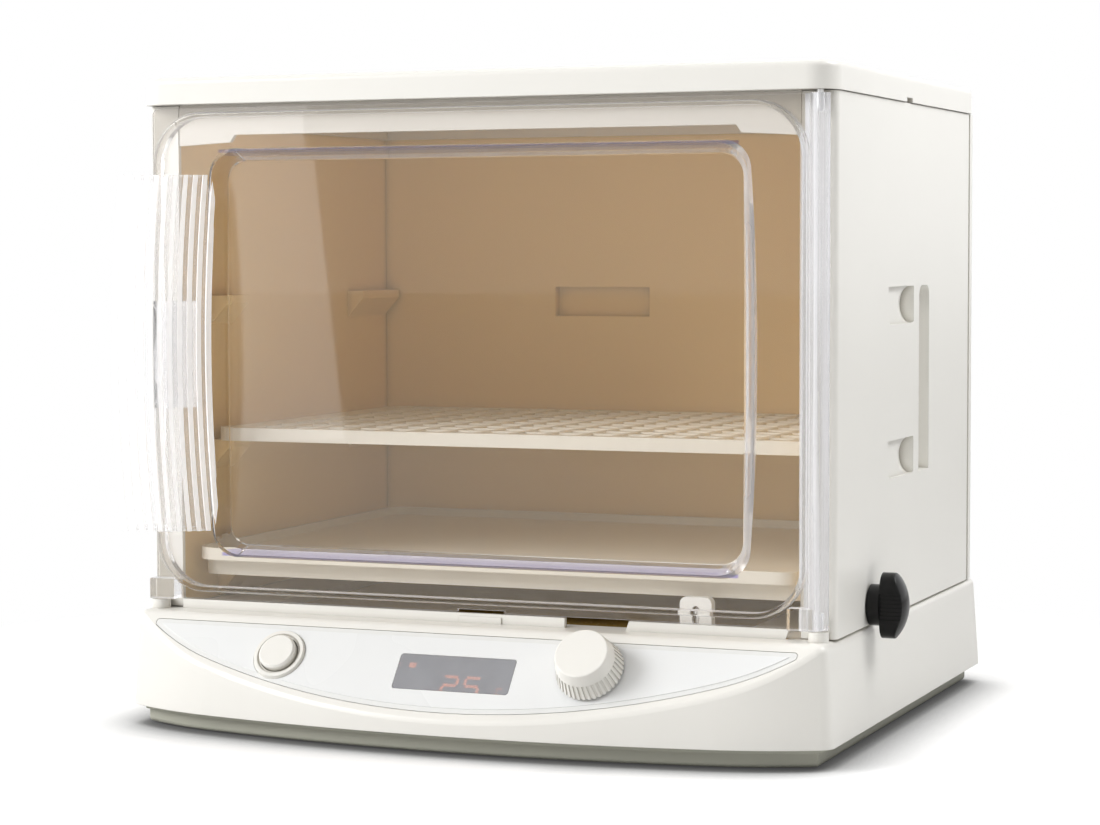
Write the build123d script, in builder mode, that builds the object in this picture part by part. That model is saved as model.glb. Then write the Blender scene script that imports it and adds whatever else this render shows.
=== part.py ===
from build123d import *
import os
from math import atan, atan2, cos, degrees, hypot, radians, sin, sqrt, tan

# Folding dough proofer, in millimetres.
# X runs to the object's right as seen from the front, Y to the back, Z up.
# The origin is the middle of the footprint, on the surface that the feet stand on.

# ---------------------------------------------------------------- driving dimensions
# base
body_width = 340.0            # over the side walls, and over the base at the seam
body_depth = 306.0            # middle of the bowed front to the back of the base, at its foot
seam = 54.6                   # height of the base, up to the line where the walls start
housing_bottom = 9.6          # lower edge of the base housing
base_draft = 4.0              # lean of its sides, out towards the foot, in degrees
skin = 2.4                    # moulded wall thickness
bow_foot = 47.0               # middle of the bow ahead of the side walls, at the foot
bow_shoulder_foot = 35.0      # the same where the mid arc meets the end arcs
bow_shoulder_inset = 45.0     # that place, in from the side
bow_end_reach = 15.0          # ledge ahead of the side walls, at the sides
base_front_corner = 5.0
base_rear_corner = 3.0
ledge_round = 5.0             # where the ledge turns down into the control slope
smile_round = 4.0             # where the slope meets the upright bowed front
sill_rise = 4.4               # low lip under the door
sill_left_inset = 17.0        # its ends, in from the sides
sill_right_inset = 23.0
sill_gap_left = 43.7          # finger gap in the lip
sill_gap_right = 72.2
sill_slant = 2.5

# bottom plate and feet
plate_inset = 7.0             # in from the housing's foot
plate_bottom = 0.8
plate_floor = 2.0
plate_round = 2.0
plate_rim_inset = 5.2         # band under the housing, proud of the plate's side
plate_rim = 2.4
flange_width = 8.0            # inward flange of the housing that the plate closes
foot_radius = 9.0
foot_sink = 1.0               # recess in the plate that holds a foot
foot_gap = 0.2
foot_inset_x = 26.0           # foot centres in from the plate's sides
foot_inset_front = 34.0       # and in from the side walls' front plane
foot_inset_rear = 24.0
boss_radius = 4.5
pilot_radius = 1.35
screw_shank = 1.3
screw_head = 2.9
screw_head_thick = 1.8
screw_reach = 9.0
screw_gap = 0.2               # clearance round heads and shanks
screw_sink = 2.2
screw_tip_gap = 1.0
boss_inset_x = 12.0           # screw bosses in from the sides
boss_inset_front = 4.0        # behind the side walls' front plane
boss_inset_rear = 12.0
vent_x = 60.0
vent_pitch = 8.0
vent_count = 9
vent_length = 50.0
vent_width = 3.0

# control slope
slope_angle = 50.7            # slope below the ledge, from level
slope_seat = 5.0              # housing thickness under the slope
panel_margin = 4.6            # panel edge in from the slope's edges
panel_thick = 2.4
panel_end_inset = 12.0
panel_end_drop = 3.0
panel_end_round = 1.35
panel_seat = 4.0              # width of the seat that carries the panel
panel_gap = 0.25
film_inset = 2.4
head_taper = 12.0             # lean of a screw head's side, in degrees
film_thick = 0.3
film_gap = 0.2
standoff_places = [(-50.0, 14.0), (-50.0, 32.0), (42.0, 14.0), (42.0, 32.0)]
standoff_radius = 3.0

# controls, placed on the slope by X and by the distance down from its top edge
button_x = -88.0
button_down = 20.6
button_radius = 8.9
button_rise = 4.2
button_crown = 0.9
button_depth = 6.0            # button below the slope
button_gap = 0.4
button_wall = 1.4
button_collar = 10.0          # radius of the collar that keeps it in
button_collar_thick = 0.8
stem_radius = 2.0
bezel_radius = 12.8
bezel_rise = 1.6
bezel_lap = 2.5               # bezel over the panel, round its neck
bezel_neck = 5.0              # neck below the slope
bezel_dish = 1.0
bezel_floor = 9.9
bezel_lean = 20.0             # lean of its outer side and of its dish, in degrees
bezel_dish_lean = 35.0
switch_size = 12.0
switch_rise = 6.0
switch_gap = 0.3
switch_well = 2.6
display_x = 1.5
display_down = 25.2
display_width = 57.0
display_height = 18.4
display_round = 1.5
window_lap = 2.0              # flange of the window behind the panel
window_lap_thick = 1.2
module_margin = 1.0
module_thick = 10.0
# figures on the display: x, distance down the slope, scale and lit bars
figures = [(-2.8, 27.1, 1.0, "abged"), (8.0, 27.1, 1.0, "afgcd"), (22.0, 29.0, 0.36, "afed")]
figure_height = 8.8
figure_width = 6.9
segment_width = 1.3
segment_gap = 0.25
segment_rise = 0.3
lamp_x = -23.6
lamp_down = 17.8
lamp_width = 3.2
lamp_height = 2.5
dial_x = 66.0
dial_down = 19.6
dial_base_radius = 15.7
dial_top_radius = 12.1
dial_rise = 13.8
dial_gap = 1.4
dial_ribs = 40
dial_travel = 0.8
dial_top_wall = 2.0
dial_edge = 0.8
dial_side = 2.4
dial_skirt = 8.0              # ribbed height
groove_depth = 0.5
groove_width = 1.1
hub_radius = 5.0
shaft_radius = 3.0
bush_radius = 5.5
bush_flange = 1.5
encoder_size = 12.0
encoder_rise = 7.0
encoder_floor = 2.0
encoder_gap = 0.3
plunger_radius = 4.0
plunger_thick = 1.5
run_fit = 0.05                # radial clearance of a turning or sliding fit
board_depth = 17.0            # face of the control board under the slope
board_thick = 1.6
board_x = -8.0
board_down = 24.0
board_length = 192.0
board_width = 32.0
board_corner = 2.0

# chamber
wall_rise = 239.0
wall_thick = 12.0
rear_ledge = 10.0             # foot of the base behind the back wall
liner_thick = 2.0
back_thick = 13.0
back_behind = 8.0             # back wall behind the ends of the side walls
wall_gap = 0.4
wall_round = 3.0
mouth_inset = 16.0            # front frame of the chamber, in from the sides
ear_front = 105.0             # folding ears of a side wall, behind its front
ear_rear = 36.0               # and ahead of its rear
ear_back_inset = 80.0         # folding ears of the back wall, in from the sides
ear_spacing = 40.0
ear_thick = 6.0
ear_width = 6.0
ear_rise = 9.0
ear_gap = 0.5
pin_height = 4.5
fold_pin_radius = 2.0
recess_low = 64.0             # grip recesses in the side walls, above the seam
recess_high = 153.0
recess_square = 17.5          # height of a finger scoop
recess_front = 84.0           # behind the side walls' front plane
recess_split = 130.0
recess_bar = 140.0
recess_rear = 159.0
recess_round = 5.0            # outer corners only
recess_depth = 7.0
scoop_step = 2.0              # depth at a scoop's front
scoop_run = 22.0              # length over which it falls to the full depth
pocket_x = -29.5              # finger recess in the back wall's liner
pocket_height = 142.6
pocket_width = 54.2
pocket_rise = 15.7
pocket_depth = 6.0
well_margin_side = 48.0       # heater well in from the base's sides
well_front = 8.0              # behind the side walls' front plane
well_back = 11.0              # ahead of the ends of the side walls
well_corner = 15.0
well_drop = 8.0
well_lip = 6.0

# heater and supply, inside the base
heater_plate_thick = 1.6
element_radius = 3.2
element_margin = 8.0
element_rows = 4
element_end = 43.5            # first and last row, in from the well's ends
element_turn = 18.0
clip_length = 8.0
clip_wall = 1.6
cutout_radius = 8.0
cutout_thick = 4.0
cutout_tab = 2.5
cutout_tab_thick = 0.8
pan_wall = 0.8
pan_drop = 14.0
sensor_inset = 65.5           # in from the right side
sensor_back = 3.0             # behind the side walls' front plane
sensor_width = 15.0
sensor_depth = 4.8
sensor_rise = 16.0
sensor_wall = 1.4
sensor_round = 3.0
sensor_slot = 3.4
probe_radius = 1.3
probe_rise = 11.0
supply_x = 70.0
supply_y = 70.0
supply_length = 90.0
supply_width = 60.0
supply_post = 4.0
supply_inset = 5.0
supply_post_radius = 3.0
transformer_shift = 18.0      # along X from the board's middle
relay_shift = 22.5            # along X and Y from the board's middle, for relay and capacitor
relay_spread = 12.0
transformer_size = (34.0, 28.0, 18.0)
winding_size = (22.0, 38.0, 12.0)
winding_lift = 3.0
relay_size = (19.0, 15.5, 15.0)
capacitor_radius = 6.0
capacitor_rise = 16.0
part_round = 1.0

# shelves
shelf_side_gap = 6.0          # to the liners
shelf_front = 33.0            # behind the side walls' front plane
shelf_back_gap = 5.0          # to the back wall
shelf_thick = 6.4
low_shelf_front = 15.0         # the lower shelf lies further forward, and is thicker
low_shelf_thick = 7.8
shelf_web = 3.0               # grid, thinner than the rim
shelf_rim = 3.6
shelf_corner = 8.0
shelf_pitch = 17.3            # of the holes
shelf_bar = 4.0               # between two holes
shelf_side_margin = 15.0      # least solid border at the sides
shelf_end_margin = 5.5        # and at the front and back
slot_bar = 18.0               # between the lower shelf's two columns of slots
shelf_level = 78.0            # underside of the upper shelf above the seam
low_level = 14.7              # underside of the lower shelf
top_level = 149.0             # the free pair of rests
rest_reach = 9.0
rest_tip = 4.0                # thickness of a rest at its tip
rest_drop = 14.0
rest_front = 42.0             # front pair, behind the side walls' front plane
rest_front_length = 17.0
rest_back_gap = 2.0           # rear pair, ahead of the back wall
rest_back_length = 46.0
rest_gap = 0.3
tray_front = 6.0
tray_gap = 0.1
tray_rise = 5.8
tray_wall = 1.6
tray_corner = 12.0

# door
door_left_inset = 3.0         # in from the side
door_bottom = 4.9             # above the seam
door_head_gap = 1.3           # under the top of the walls
door_face = 9.6               # front of the door ahead of the side walls
door_back = 0.4               # back of its rim ahead of them
door_wall = 2.2
ridge_left_inset = 6.5
ridge_right_inset = 11.5
ridge_bottom = 9.0
ridge_top_gap = 2.2           # under the top of the door
ridge_corner = 25.0
ridge_round = 1.5
flange_corner = 3.0
foot_block_width = 13.0       # solid blocks in the door's two lower corners
foot_block_rise = 9.6
notch_x = 2.2                 # notch in the door's lower edge, over a pad on the lip
notch_width = 23.5
notch_rise = 1.2
pad_width = 21.0
pad_rise = 3.0
pad_thick = 0.5
window_inset = 39.0           # sides of the window, in from the sides
window_bulge = 4.8
window_low = 27.5
window_head = 20.7            # top of the window under the top of the door
window_corner = 14.0
window_taper_side = 3.5       # pane in from the window's edge
window_taper_low = 4.0
window_taper_high = 4.5
pane_corner = 10.0
pane_bulge = 0.4
pane_front = 0.6              # front of the pane ahead of the side walls
hinge_inset = 6.5             # hinge line in from the side
hinge_reach = 5.0             # and ahead of the side walls
barrel_radius = 4.5
pin_radius = 1.6
pin_reach = 8.0
pin_end_gap = 1.0
barrel_lift = 0.4
upper_pin_proud = 4.5
socket_boss = 3.4             # radius of the lid's boss around the upper pin
socket_depth = 4.0
socket_fit = 0.1
lower_post = 4.4

# handle
grip_low = 38.5
grip_high = 206.0
grip_sweep = 455.0            # radius of the grip's upright bow
grip_spare = 2.0              # angle swept beyond each end, in degrees
# grip's section at mid-height: in from the left side, and ahead of the side walls
grip_section_start = (39.0, 13.0)
grip_section_mid = (18.0, 28.0)
grip_section_end = (-3.0, 30.0)
grip_foot_insets = (7.0, 46.0)  # end plates, where they meet the door
grip_ribs = 11
rib_width = 2.1
rib_depth = 1.8
grip_wall = 1.6
grip_plate = 1.8
block_inset = 18.0            # in from the left side
block_width = 13.0
block_low = 97.0
block_high = 147.0
block_front = 24.0            # ahead of the side walls
block_chamfer = 9.0
block_gap = 0.1
block_web = 2.0
block_web_front = 27.0
stud_radius = 2.5
stud_inset = 8.0
handle_screw_out = 17.0
handle_screw_head = 3.3
handle_screw_low = 102.6
handle_screw_high = 139.0

# lid
lid_rise = 12.6
lid_overhang_side = 1.0
lid_overhang_front = 10.0
lid_corner = 12.0
lid_edge = 3.0
lid_gap = 0.3
lid_lip_drop = 8.0
lid_boss_inset_x = 31.0       # screw bosses, in from the lid's edges
lid_boss_inset_y = 30.0
lid_notch_back = 117.0
lid_notch_width = 10.0
lid_notch_rise = 2.0
header_gap = 0.3
header_thick = 2.4
header_drop = 14.0
gusset_drop = 19.0
gusset_step = 1.5
gusset_flat_inset = 27.5      # its steps, in from the ends of the header
gusset_end_inset = 30.0

# lock knobs
knob_back = 55.4              # behind the side walls' front plane
knob_height = 9.4             # above the seam
knob_neck_radius = 9.4
knob_neck_length = 5.6
knob_length = 30.0
knob_width = 14.5
knob_thick = 11.5
knob_end_thick = 5.8          # at the ends of its domed face
knob_crown = 0.8
knob_rib_count = 7
knob_rib_pitch = 1.8
knob_rib_depth = 0.5
knob_gap = 0.4
cam_reach = 13.0
cam_width = 6.0
cam_thick = 3.5
cam_gap = 0.6
cam_shaft_radius = 4.0
cam_collar = 5.5
cam_square = 2.5              # half of the square end's width

# rear gland
gland_inset = 58.0            # in from the right side
gland_height = 28.6
gland_bore = 3.6
gland_body = 6.5
gland_flange = 9.5
gland_flange_thick = 2.0
gland_sleeve = 5.6
gland_lap = 1.2
gland_lap_thick = 1.6
gland_length = 13.0
gland_proud = 5.0             # sleeve out of the pocket's floor
gland_pocket_width = 32.0
gland_pocket_height = 28.0
gland_pocket_depth = 6.0

# ---------------------------------------------------------------- derived places
half = body_width / 2
front = bow_foot - body_depth / 2            # front plane of the side walls
rear = body_depth / 2                        # back of the base, at its foot
flare = (seam - housing_bottom) * tan(radians(base_draft))
bow_reach = bow_foot - flare                 # the bow at the seam's height
bow_shoulder_reach = bow_shoulder_foot - flare
wall_depth = body_depth - bow_foot - rear_ledge - back_behind
slope = radians(slope_angle)
slope_normal = (0, -sin(slope), cos(slope))
slope_plane = Plane(origin=(0, front - bow_end_reach, seam), x_dir=(1, 0, 0), z_dir=slope_normal)
chamber_half = half - wall_thick
back_outer = front + wall_depth + back_behind
back_inner = back_outer - back_thick
wall_top = seam + wall_rise
well_half = half - well_margin_side
well_length = wall_depth - well_front - well_back
well_middle = front + well_front + well_length / 2
mouth_half = half - mouth_inset
hinge_x = half - hinge_inset
door_left = half - door_left_inset
door_top = wall_rise - door_head_gap
sensor_x = half - sensor_inset
gland_x = half - gland_inset
deck_under = seam - skin
wall_low = seam + wall_gap
wall_height = wall_top - wall_low
wall_middle = (wall_low + wall_top) / 2
shell_in = half - wall_thick + liner_thick
fold_x = (shell_in + half - skin) / 2
fold_y = (back_inner + liner_thick + back_outer - skin) / 2
side_ears = [front + ear_front, front + wall_depth - ear_rear]
back_ears = [ear_back_inset - half, half - ear_back_inset]
ear_planes = [
    Plane(origin=(side * fold_x, y, seam), x_dir=(0, 1, 0), z_dir=(0, 0, 1))
    for side in (-1, 1)
    for y in side_ears
] + [Plane(origin=(x, fold_y, seam), x_dir=(1, 0, 0), z_dir=(0, 0, 1)) for x in back_ears]
knob_y = front + knob_back
knob_z = seam + knob_height
cam_x = fold_x
cam_tip = hypot(cam_width / 2, cam_reach)
cam_floor = knob_height - wall_gap - skin    # top of the wall's lower edge, below the knob's axis
cam_slot_front = -cam_width / 2 - cam_gap
cam_slot_rear = sqrt(cam_tip ** 2 - cam_floor ** 2) + cam_gap
cam_slot_length = cam_slot_rear - cam_slot_front
cam_slot_shift = (cam_slot_front + cam_slot_rear) / 2
block_left = half - block_inset
block_right = block_left - block_width
stud_places = [
    (-(block_left + block_right) / 2, block_low + stud_inset),
    (-(block_left + block_right) / 2, block_high - stud_inset),
]
handle_screw_places = [
    (front - handle_screw_out, seam + handle_screw_low),
    (front - handle_screw_out, seam + handle_screw_high),
]
supply_posts = [
    (supply_x + i * (supply_length / 2 - supply_inset), supply_y + j * (supply_width / 2 - supply_inset))
    for i in (-1, 1)
    for j in (-1, 1)
]
foot_places = [
    (side * (half - plate_inset - foot_inset_x), y)
    for side in (-1, 1)
    for y in (front + foot_inset_front, rear - plate_inset - foot_inset_rear)
]
boss_places = [
    (side * (half - boss_inset_x), y)
    for side in (-1, 1)
    for y in (front + boss_inset_front, rear - boss_inset_rear)
]


def on_slope(x, down, height=0.0):
    """A plane parallel to the control slope, centred at x and down from its top edge."""
    return Plane(slope_plane.from_local_coords((x, -down, height)), x_dir=(1, 0, 0), z_dir=slope_normal)


def yz_plane(x):
    """A plane across X, drawn with Y to the right and Z up, facing right."""
    return Plane(origin=(x, 0, 0), x_dir=(0, 1, 0), z_dir=(1, 0, 0))


def xz_plane(y):
    """A plane across Y, drawn with X to the right and Z up, facing the front."""
    return Plane(origin=(0, y, 0), x_dir=(1, 0, 0), z_dir=(0, -1, 0))


def bowed_face(middle, shoulder, end, top):
    """A face with a straight top, and a lower edge of one mid arc and two tangent end arcs."""
    with BuildSketch() as face:
        with BuildLine():
            mid = ThreePointArc((-shoulder[0], shoulder[1]), (0, middle), shoulder)
            right = TangentArc(mid @ 1, end, tangent=mid % 1)
            left = TangentArc(mid @ 0, (-end[0], end[1]), tangent=-(mid % 0))
            Polyline(right @ 1, (end[0], top), (-end[0], top), left @ 1)
        make_face()
    return face


def base_plan(height, inset=0.0):
    """Plan of the base at a height, drawn in from its leaning sides."""
    face = bowed_face(
        front - bow_reach,
        (half - bow_shoulder_inset, front - bow_shoulder_reach),
        (half, front - bow_end_reach),
        rear - flare,
    )
    corners = face.vertices().filter_by(lambda v: abs(abs(v.X) - half) < 0.01).sort_by(Axis.Y)
    lean = (seam - height) * tan(radians(base_draft))
    with BuildSketch() as plan:
        add(face.sketch)
        fillet(plan.vertices().filter_by(lambda v: v.Y > rear - flare - 1), base_rear_corner)
        fillet(plan.vertices().filter_by(lambda v: abs(v.Y - corners[0].Y) < 1), base_front_corner)
        offset(amount=lean - inset, mode=Mode.REPLACE)
    return plan.sketch


def ear_bore(plane):
    """The plane across a pair of folding ears, centred on their pin."""
    return Plane(plane.origin + Vector(0, 0, pin_height), x_dir=plane.y_dir, z_dir=plane.x_dir)


def slope_edges(builder):
    """Edges of the face that lies on the control slope."""
    faces = builder.faces().filter_by(lambda face: face.normal_at().dot(Vector(*slope_normal)) > 0.999)
    return faces[0].edges()


def slope_run(reach):
    """Distance down the slope to the place on its lower edge where the bow at the seam has that reach."""
    return (reach - bow_end_reach) / (cos(slope) - sin(slope) * tan(radians(base_draft)))


def panel_plan(inset):
    """Outline of the control panel on the slope, drawn in from its edge."""
    top = -panel_margin
    end = (half - panel_end_inset, top - panel_end_drop)
    face = bowed_face(
        -(slope_run(bow_reach) - panel_margin),
        (half - bow_shoulder_inset, -(slope_run(bow_shoulder_reach) - panel_margin)),
        end,
        top,
    )
    with BuildSketch() as plan:
        add(face.sketch)
        fillet(plan.vertices().filter_by(lambda v: abs(abs(v.X) - end[0]) < 0.01), panel_end_round)
        if inset:
            offset(amount=-inset, mode=Mode.REPLACE)
    return plan.sketch


def save(builder, label):
    """Label a finished piece and write its STEP file."""
    builder.part.label = label
    export_step(builder.part, f"parts/{label}.step")


def screws(planes, head_radius, shank_radius, length):
    """A group of pan-head screws: each plane is at a head's seat and points out of it."""
    with BuildPart() as group:
        for plane in planes:
            with BuildSketch(plane):
                Circle(head_radius)
            extrude(amount=screw_head_thick, taper=head_taper)
            with BuildSketch(plane):
                Circle(shank_radius)
            extrude(amount=-length)
    return group


os.makedirs("parts", exist_ok=True)

# ---------------------------------------------------------------- base housing
with BuildPart() as base_core:
    # the hollow inside: under the deck and the slope, but not round the cord's pocket
    with BuildSketch(Plane.XY.offset(housing_bottom + skin)):
        add(base_plan(housing_bottom + skin, skin))
    extrude(amount=deck_under - housing_bottom - skin, taper=base_draft)
    with BuildSketch(slope_plane.offset(-slope_seat)):
        Rectangle(2 * body_width, body_depth / 2)
    extrude(amount=body_depth, mode=Mode.SUBTRACT)
    with BuildSketch(Plane.XY.offset(housing_bottom)):
        add(base_plan(housing_bottom, skin + flange_width))
    extrude(amount=skin)
    with BuildSketch(xz_plane(rear)):
        with Locations((gland_x, gland_height)):
            Rectangle(gland_pocket_width + 2 * skin, gland_pocket_height + 2 * skin)
    extrude(amount=gland_pocket_depth + skin, mode=Mode.SUBTRACT)

pocket_floor = rear - gland_pocket_depth
with BuildPart() as base_housing:
    with BuildSketch(Plane.XY.offset(housing_bottom)):
        add(base_plan(housing_bottom))
    extrude(amount=seam - housing_bottom, taper=base_draft)
    with BuildSketch(slope_plane):
        Rectangle(2 * body_width, body_depth / 2)
    extrude(amount=body_depth, mode=Mode.SUBTRACT)
    fillet(slope_edges(base_housing).sort_by(SortBy.LENGTH)[-1], ledge_round)
    fillet(slope_edges(base_housing).filter_by(GeomType.ELLIPSE), smile_round)
    add(base_core.part, mode=Mode.SUBTRACT)
    # seat and opening for the control panel
    with BuildSketch(slope_plane.offset(-panel_thick)):
        add(panel_plan(-panel_gap))
    extrude(amount=slope_seat, mode=Mode.SUBTRACT)
    with BuildSketch(slope_plane.offset(-2 * slope_seat)):
        add(panel_plan(panel_seat))
    extrude(amount=2 * slope_seat, mode=Mode.SUBTRACT)
    # heater well: a curb under the deck with a lip that carries the heater plate
    with BuildSketch(Plane(origin=(0, well_middle, seam - well_drop))):
        RectangleRounded(2 * (well_half + skin), well_length + 2 * skin, well_corner + skin)
    extrude(amount=well_drop)
    with BuildSketch(Plane(origin=(0, well_middle, seam - well_drop + skin))):
        RectangleRounded(2 * well_half, well_length, well_corner)
    extrude(amount=well_drop, mode=Mode.SUBTRACT)
    with BuildSketch(Plane(origin=(0, well_middle, seam - well_drop))):
        RectangleRounded(2 * (well_half - well_lip), well_length - 2 * well_lip, well_corner - well_lip)
    extrude(amount=skin, mode=Mode.SUBTRACT)
    # screw bosses down to the bottom plate
    with BuildSketch(Plane.XY.offset(housing_bottom)):
        with Locations(*boss_places):
            Circle(boss_radius)
    extrude(amount=deck_under - housing_bottom)
    with BuildSketch(Plane.XY.offset(housing_bottom)):
        with Locations(*boss_places):
            Circle(pilot_radius)
    extrude(amount=screw_reach, mode=Mode.SUBTRACT)
    # posts on the ledge: the right one carries the door, the left one is its stop
    with BuildSketch(Plane.XY.offset(deck_under)):
        with Locations((hinge_x, front - hinge_reach), (-hinge_x, front - hinge_reach)):
            Circle(barrel_radius)
    extrude(amount=skin + lower_post)
    with BuildSketch(Plane.XY.offset(deck_under)):
        with Locations((hinge_x, front - hinge_reach)):
            Circle(pin_radius)
    extrude(amount=skin + lower_post, mode=Mode.SUBTRACT)
    # low lip under the door, with a finger gap
    with BuildSketch(xz_plane(front - door_back)):
        for low_x, high_x, slants in (
            (sill_left_inset - half, sill_gap_left, (0, 0)),
            (sill_gap_right, half - sill_right_inset, (sill_slant, sill_slant)),
        ):
            with BuildLine():
                Polyline(
                    (low_x, deck_under),
                    (low_x + slants[0], seam + sill_rise),
                    (high_x + slants[1], seam + sill_rise),
                    (high_x, deck_under),
                    close=True,
                )
            make_face()
    extrude(amount=skin)
    with BuildSketch(xz_plane(front - door_back - skin)):
        with Locations((notch_x, seam + pad_rise / 2)):
            Rectangle(pad_width, pad_rise)
    extrude(amount=pad_thick)
    # ears that carry the side walls' and the back wall's folding pins
    for plane in ear_planes:
        with BuildSketch(plane):
            with Locations((-ear_spacing / 2, 0), (ear_spacing / 2, 0)):
                Rectangle(ear_thick, ear_width)
        extrude(amount=ear_rise)
        with BuildSketch(ear_bore(plane)):
            Circle(fold_pin_radius)
        extrude(amount=ear_spacing, both=True, mode=Mode.SUBTRACT)
    # slots that the lock cams reach into
    with BuildSketch(Plane.XY.offset(deck_under)):
        with Locations((cam_x, knob_y + cam_slot_shift), (-cam_x, knob_y + cam_slot_shift)):
            Rectangle(cam_thick + 2 * cam_gap, cam_slot_length)
    extrude(amount=skin, mode=Mode.SUBTRACT)
    # pocket in the rear wall, with the hole for the cord's gland
    with BuildSketch(xz_plane(rear)):
        with Locations((gland_x, gland_height)):
            Rectangle(gland_pocket_width, gland_pocket_height)
    extrude(amount=gland_pocket_depth, mode=Mode.SUBTRACT)
    with BuildSketch(xz_plane(rear)):
        with Locations((gland_x, gland_height)):
            Circle(gland_body)
    extrude(amount=2 * gland_pocket_depth, mode=Mode.SUBTRACT)
save(base_housing, "base_housing")

foot_thick = plate_bottom + foot_sink
with BuildPart() as bottom_plate:
    with BuildSketch(Plane.XY.offset(plate_bottom)):
        add(base_plan(housing_bottom, plate_inset))
    extrude(amount=housing_bottom - plate_bottom)
    fillet(bottom_plate.faces().sort_by(Axis.Z)[0].edges(), plate_round)
    with BuildSketch(Plane.XY.offset(housing_bottom - plate_rim)):
        add(base_plan(housing_bottom, plate_rim_inset))
    extrude(amount=plate_rim)
    with BuildSketch(Plane.XY.offset(plate_bottom + plate_floor)):
        add(base_plan(housing_bottom, plate_inset + skin))
    extrude(amount=housing_bottom, mode=Mode.SUBTRACT)
    # towers under the housing's screw bosses, with their screws' holes
    with BuildSketch(Plane.XY.offset(plate_bottom)):
        with Locations(*boss_places):
            Circle(boss_radius)
    extrude(amount=housing_bottom - plate_bottom)
    with BuildSketch(Plane.XY.offset(plate_bottom)):
        with Locations(*boss_places):
            Circle(screw_shank + screw_gap)
    extrude(amount=housing_bottom - plate_bottom, mode=Mode.SUBTRACT)
    with BuildSketch(Plane.XY.offset(plate_bottom)):
        with Locations(*boss_places):
            Circle(screw_head + screw_gap)
    extrude(amount=screw_sink, mode=Mode.SUBTRACT)
    # posts for the power board
    with BuildSketch(Plane.XY.offset(plate_bottom + plate_floor)):
        with Locations(*supply_posts):
            Circle(supply_post_radius)
            Circle(pilot_radius, mode=Mode.SUBTRACT)
    extrude(amount=supply_post)
    # recesses for the feet, and two fields of vent slots
    with BuildSketch(Plane.XY.offset(plate_bottom)):
        with Locations(*foot_places):
            Circle(foot_radius)
    extrude(amount=foot_sink, mode=Mode.SUBTRACT)
    with BuildSketch(Plane.XY.offset(plate_bottom)):
        with Locations((-vent_x, 0), (vent_x, 0)):
            with GridLocations(0, vent_pitch, 1, vent_count):
                SlotOverall(vent_length, vent_width)
    extrude(amount=plate_floor, mode=Mode.SUBTRACT)
save(bottom_plate, "bottom_plate")

with BuildPart() as rubber_feet:
    with BuildSketch():
        with Locations(*foot_places):
            Circle(foot_radius - foot_gap)
    extrude(amount=foot_thick)
save(rubber_feet, "rubber_feet")

screw_seat = plate_bottom + screw_sink
bottom_screws = screws(
    [Plane(origin=(x, y, screw_seat), z_dir=(0, 0, -1)) for x, y in boss_places],
    screw_head,
    screw_shank,
    housing_bottom - screw_seat + screw_reach - screw_tip_gap,
)
save(bottom_screws, "bottom_screws")

# ---------------------------------------------------------------- control panel
with BuildPart() as control_panel:
    with BuildSketch(slope_plane.offset(-panel_thick)):
        add(panel_plan(0))
    extrude(amount=panel_thick)
    for x, down, radius in (
        (button_x, button_down, bezel_radius - bezel_lap),
        (dial_x, dial_down, bush_radius),
    ):
        with BuildSketch(on_slope(x, down)):
            Circle(radius)
        extrude(amount=-panel_thick, mode=Mode.SUBTRACT)
    with BuildSketch(on_slope(display_x, display_down)):
        Rectangle(display_width, display_height)
    extrude(amount=-panel_thick, mode=Mode.SUBTRACT)
    # standoffs for the control board
    with BuildSketch(slope_plane.offset(-panel_thick)):
        with Locations(*[(x, -down) for x, down in standoff_places]):
            Circle(standoff_radius)
            Circle(pilot_radius, mode=Mode.SUBTRACT)
    extrude(amount=-(board_depth - panel_thick))
save(control_panel, "control_panel")

with BuildPart() as panel_film:
    with BuildSketch(slope_plane):
        add(panel_plan(film_inset))
        with Locations((button_x, -button_down)):
            Circle(bezel_radius + film_gap, mode=Mode.SUBTRACT)
        with Locations((dial_x, -dial_down)):
            Circle(bush_radius + film_gap, mode=Mode.SUBTRACT)
        with Locations((display_x, -display_down)):
            RectangleRounded(display_width, display_height, display_round, mode=Mode.SUBTRACT)
    extrude(amount=film_thick)
save(panel_film, "panel_film")

with BuildPart() as display_window:
    with BuildSketch(on_slope(display_x, display_down, film_thick)):
        RectangleRounded(display_width - 2 * film_gap, display_height - 2 * film_gap, display_round)
    extrude(amount=-(film_thick + panel_thick))
    with BuildSketch(on_slope(display_x, display_down, -panel_thick)):
        Rectangle(display_width + 2 * window_lap, display_height + 2 * window_lap)
    extrude(amount=-window_lap_thick)
save(display_window, "display_window")

with BuildPart() as display_module:
    with BuildSketch(on_slope(display_x, display_down, -board_depth)):
        Rectangle(display_width - module_margin, display_height - module_margin)
    extrude(amount=module_thick)
save(display_module, "display_module")

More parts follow.
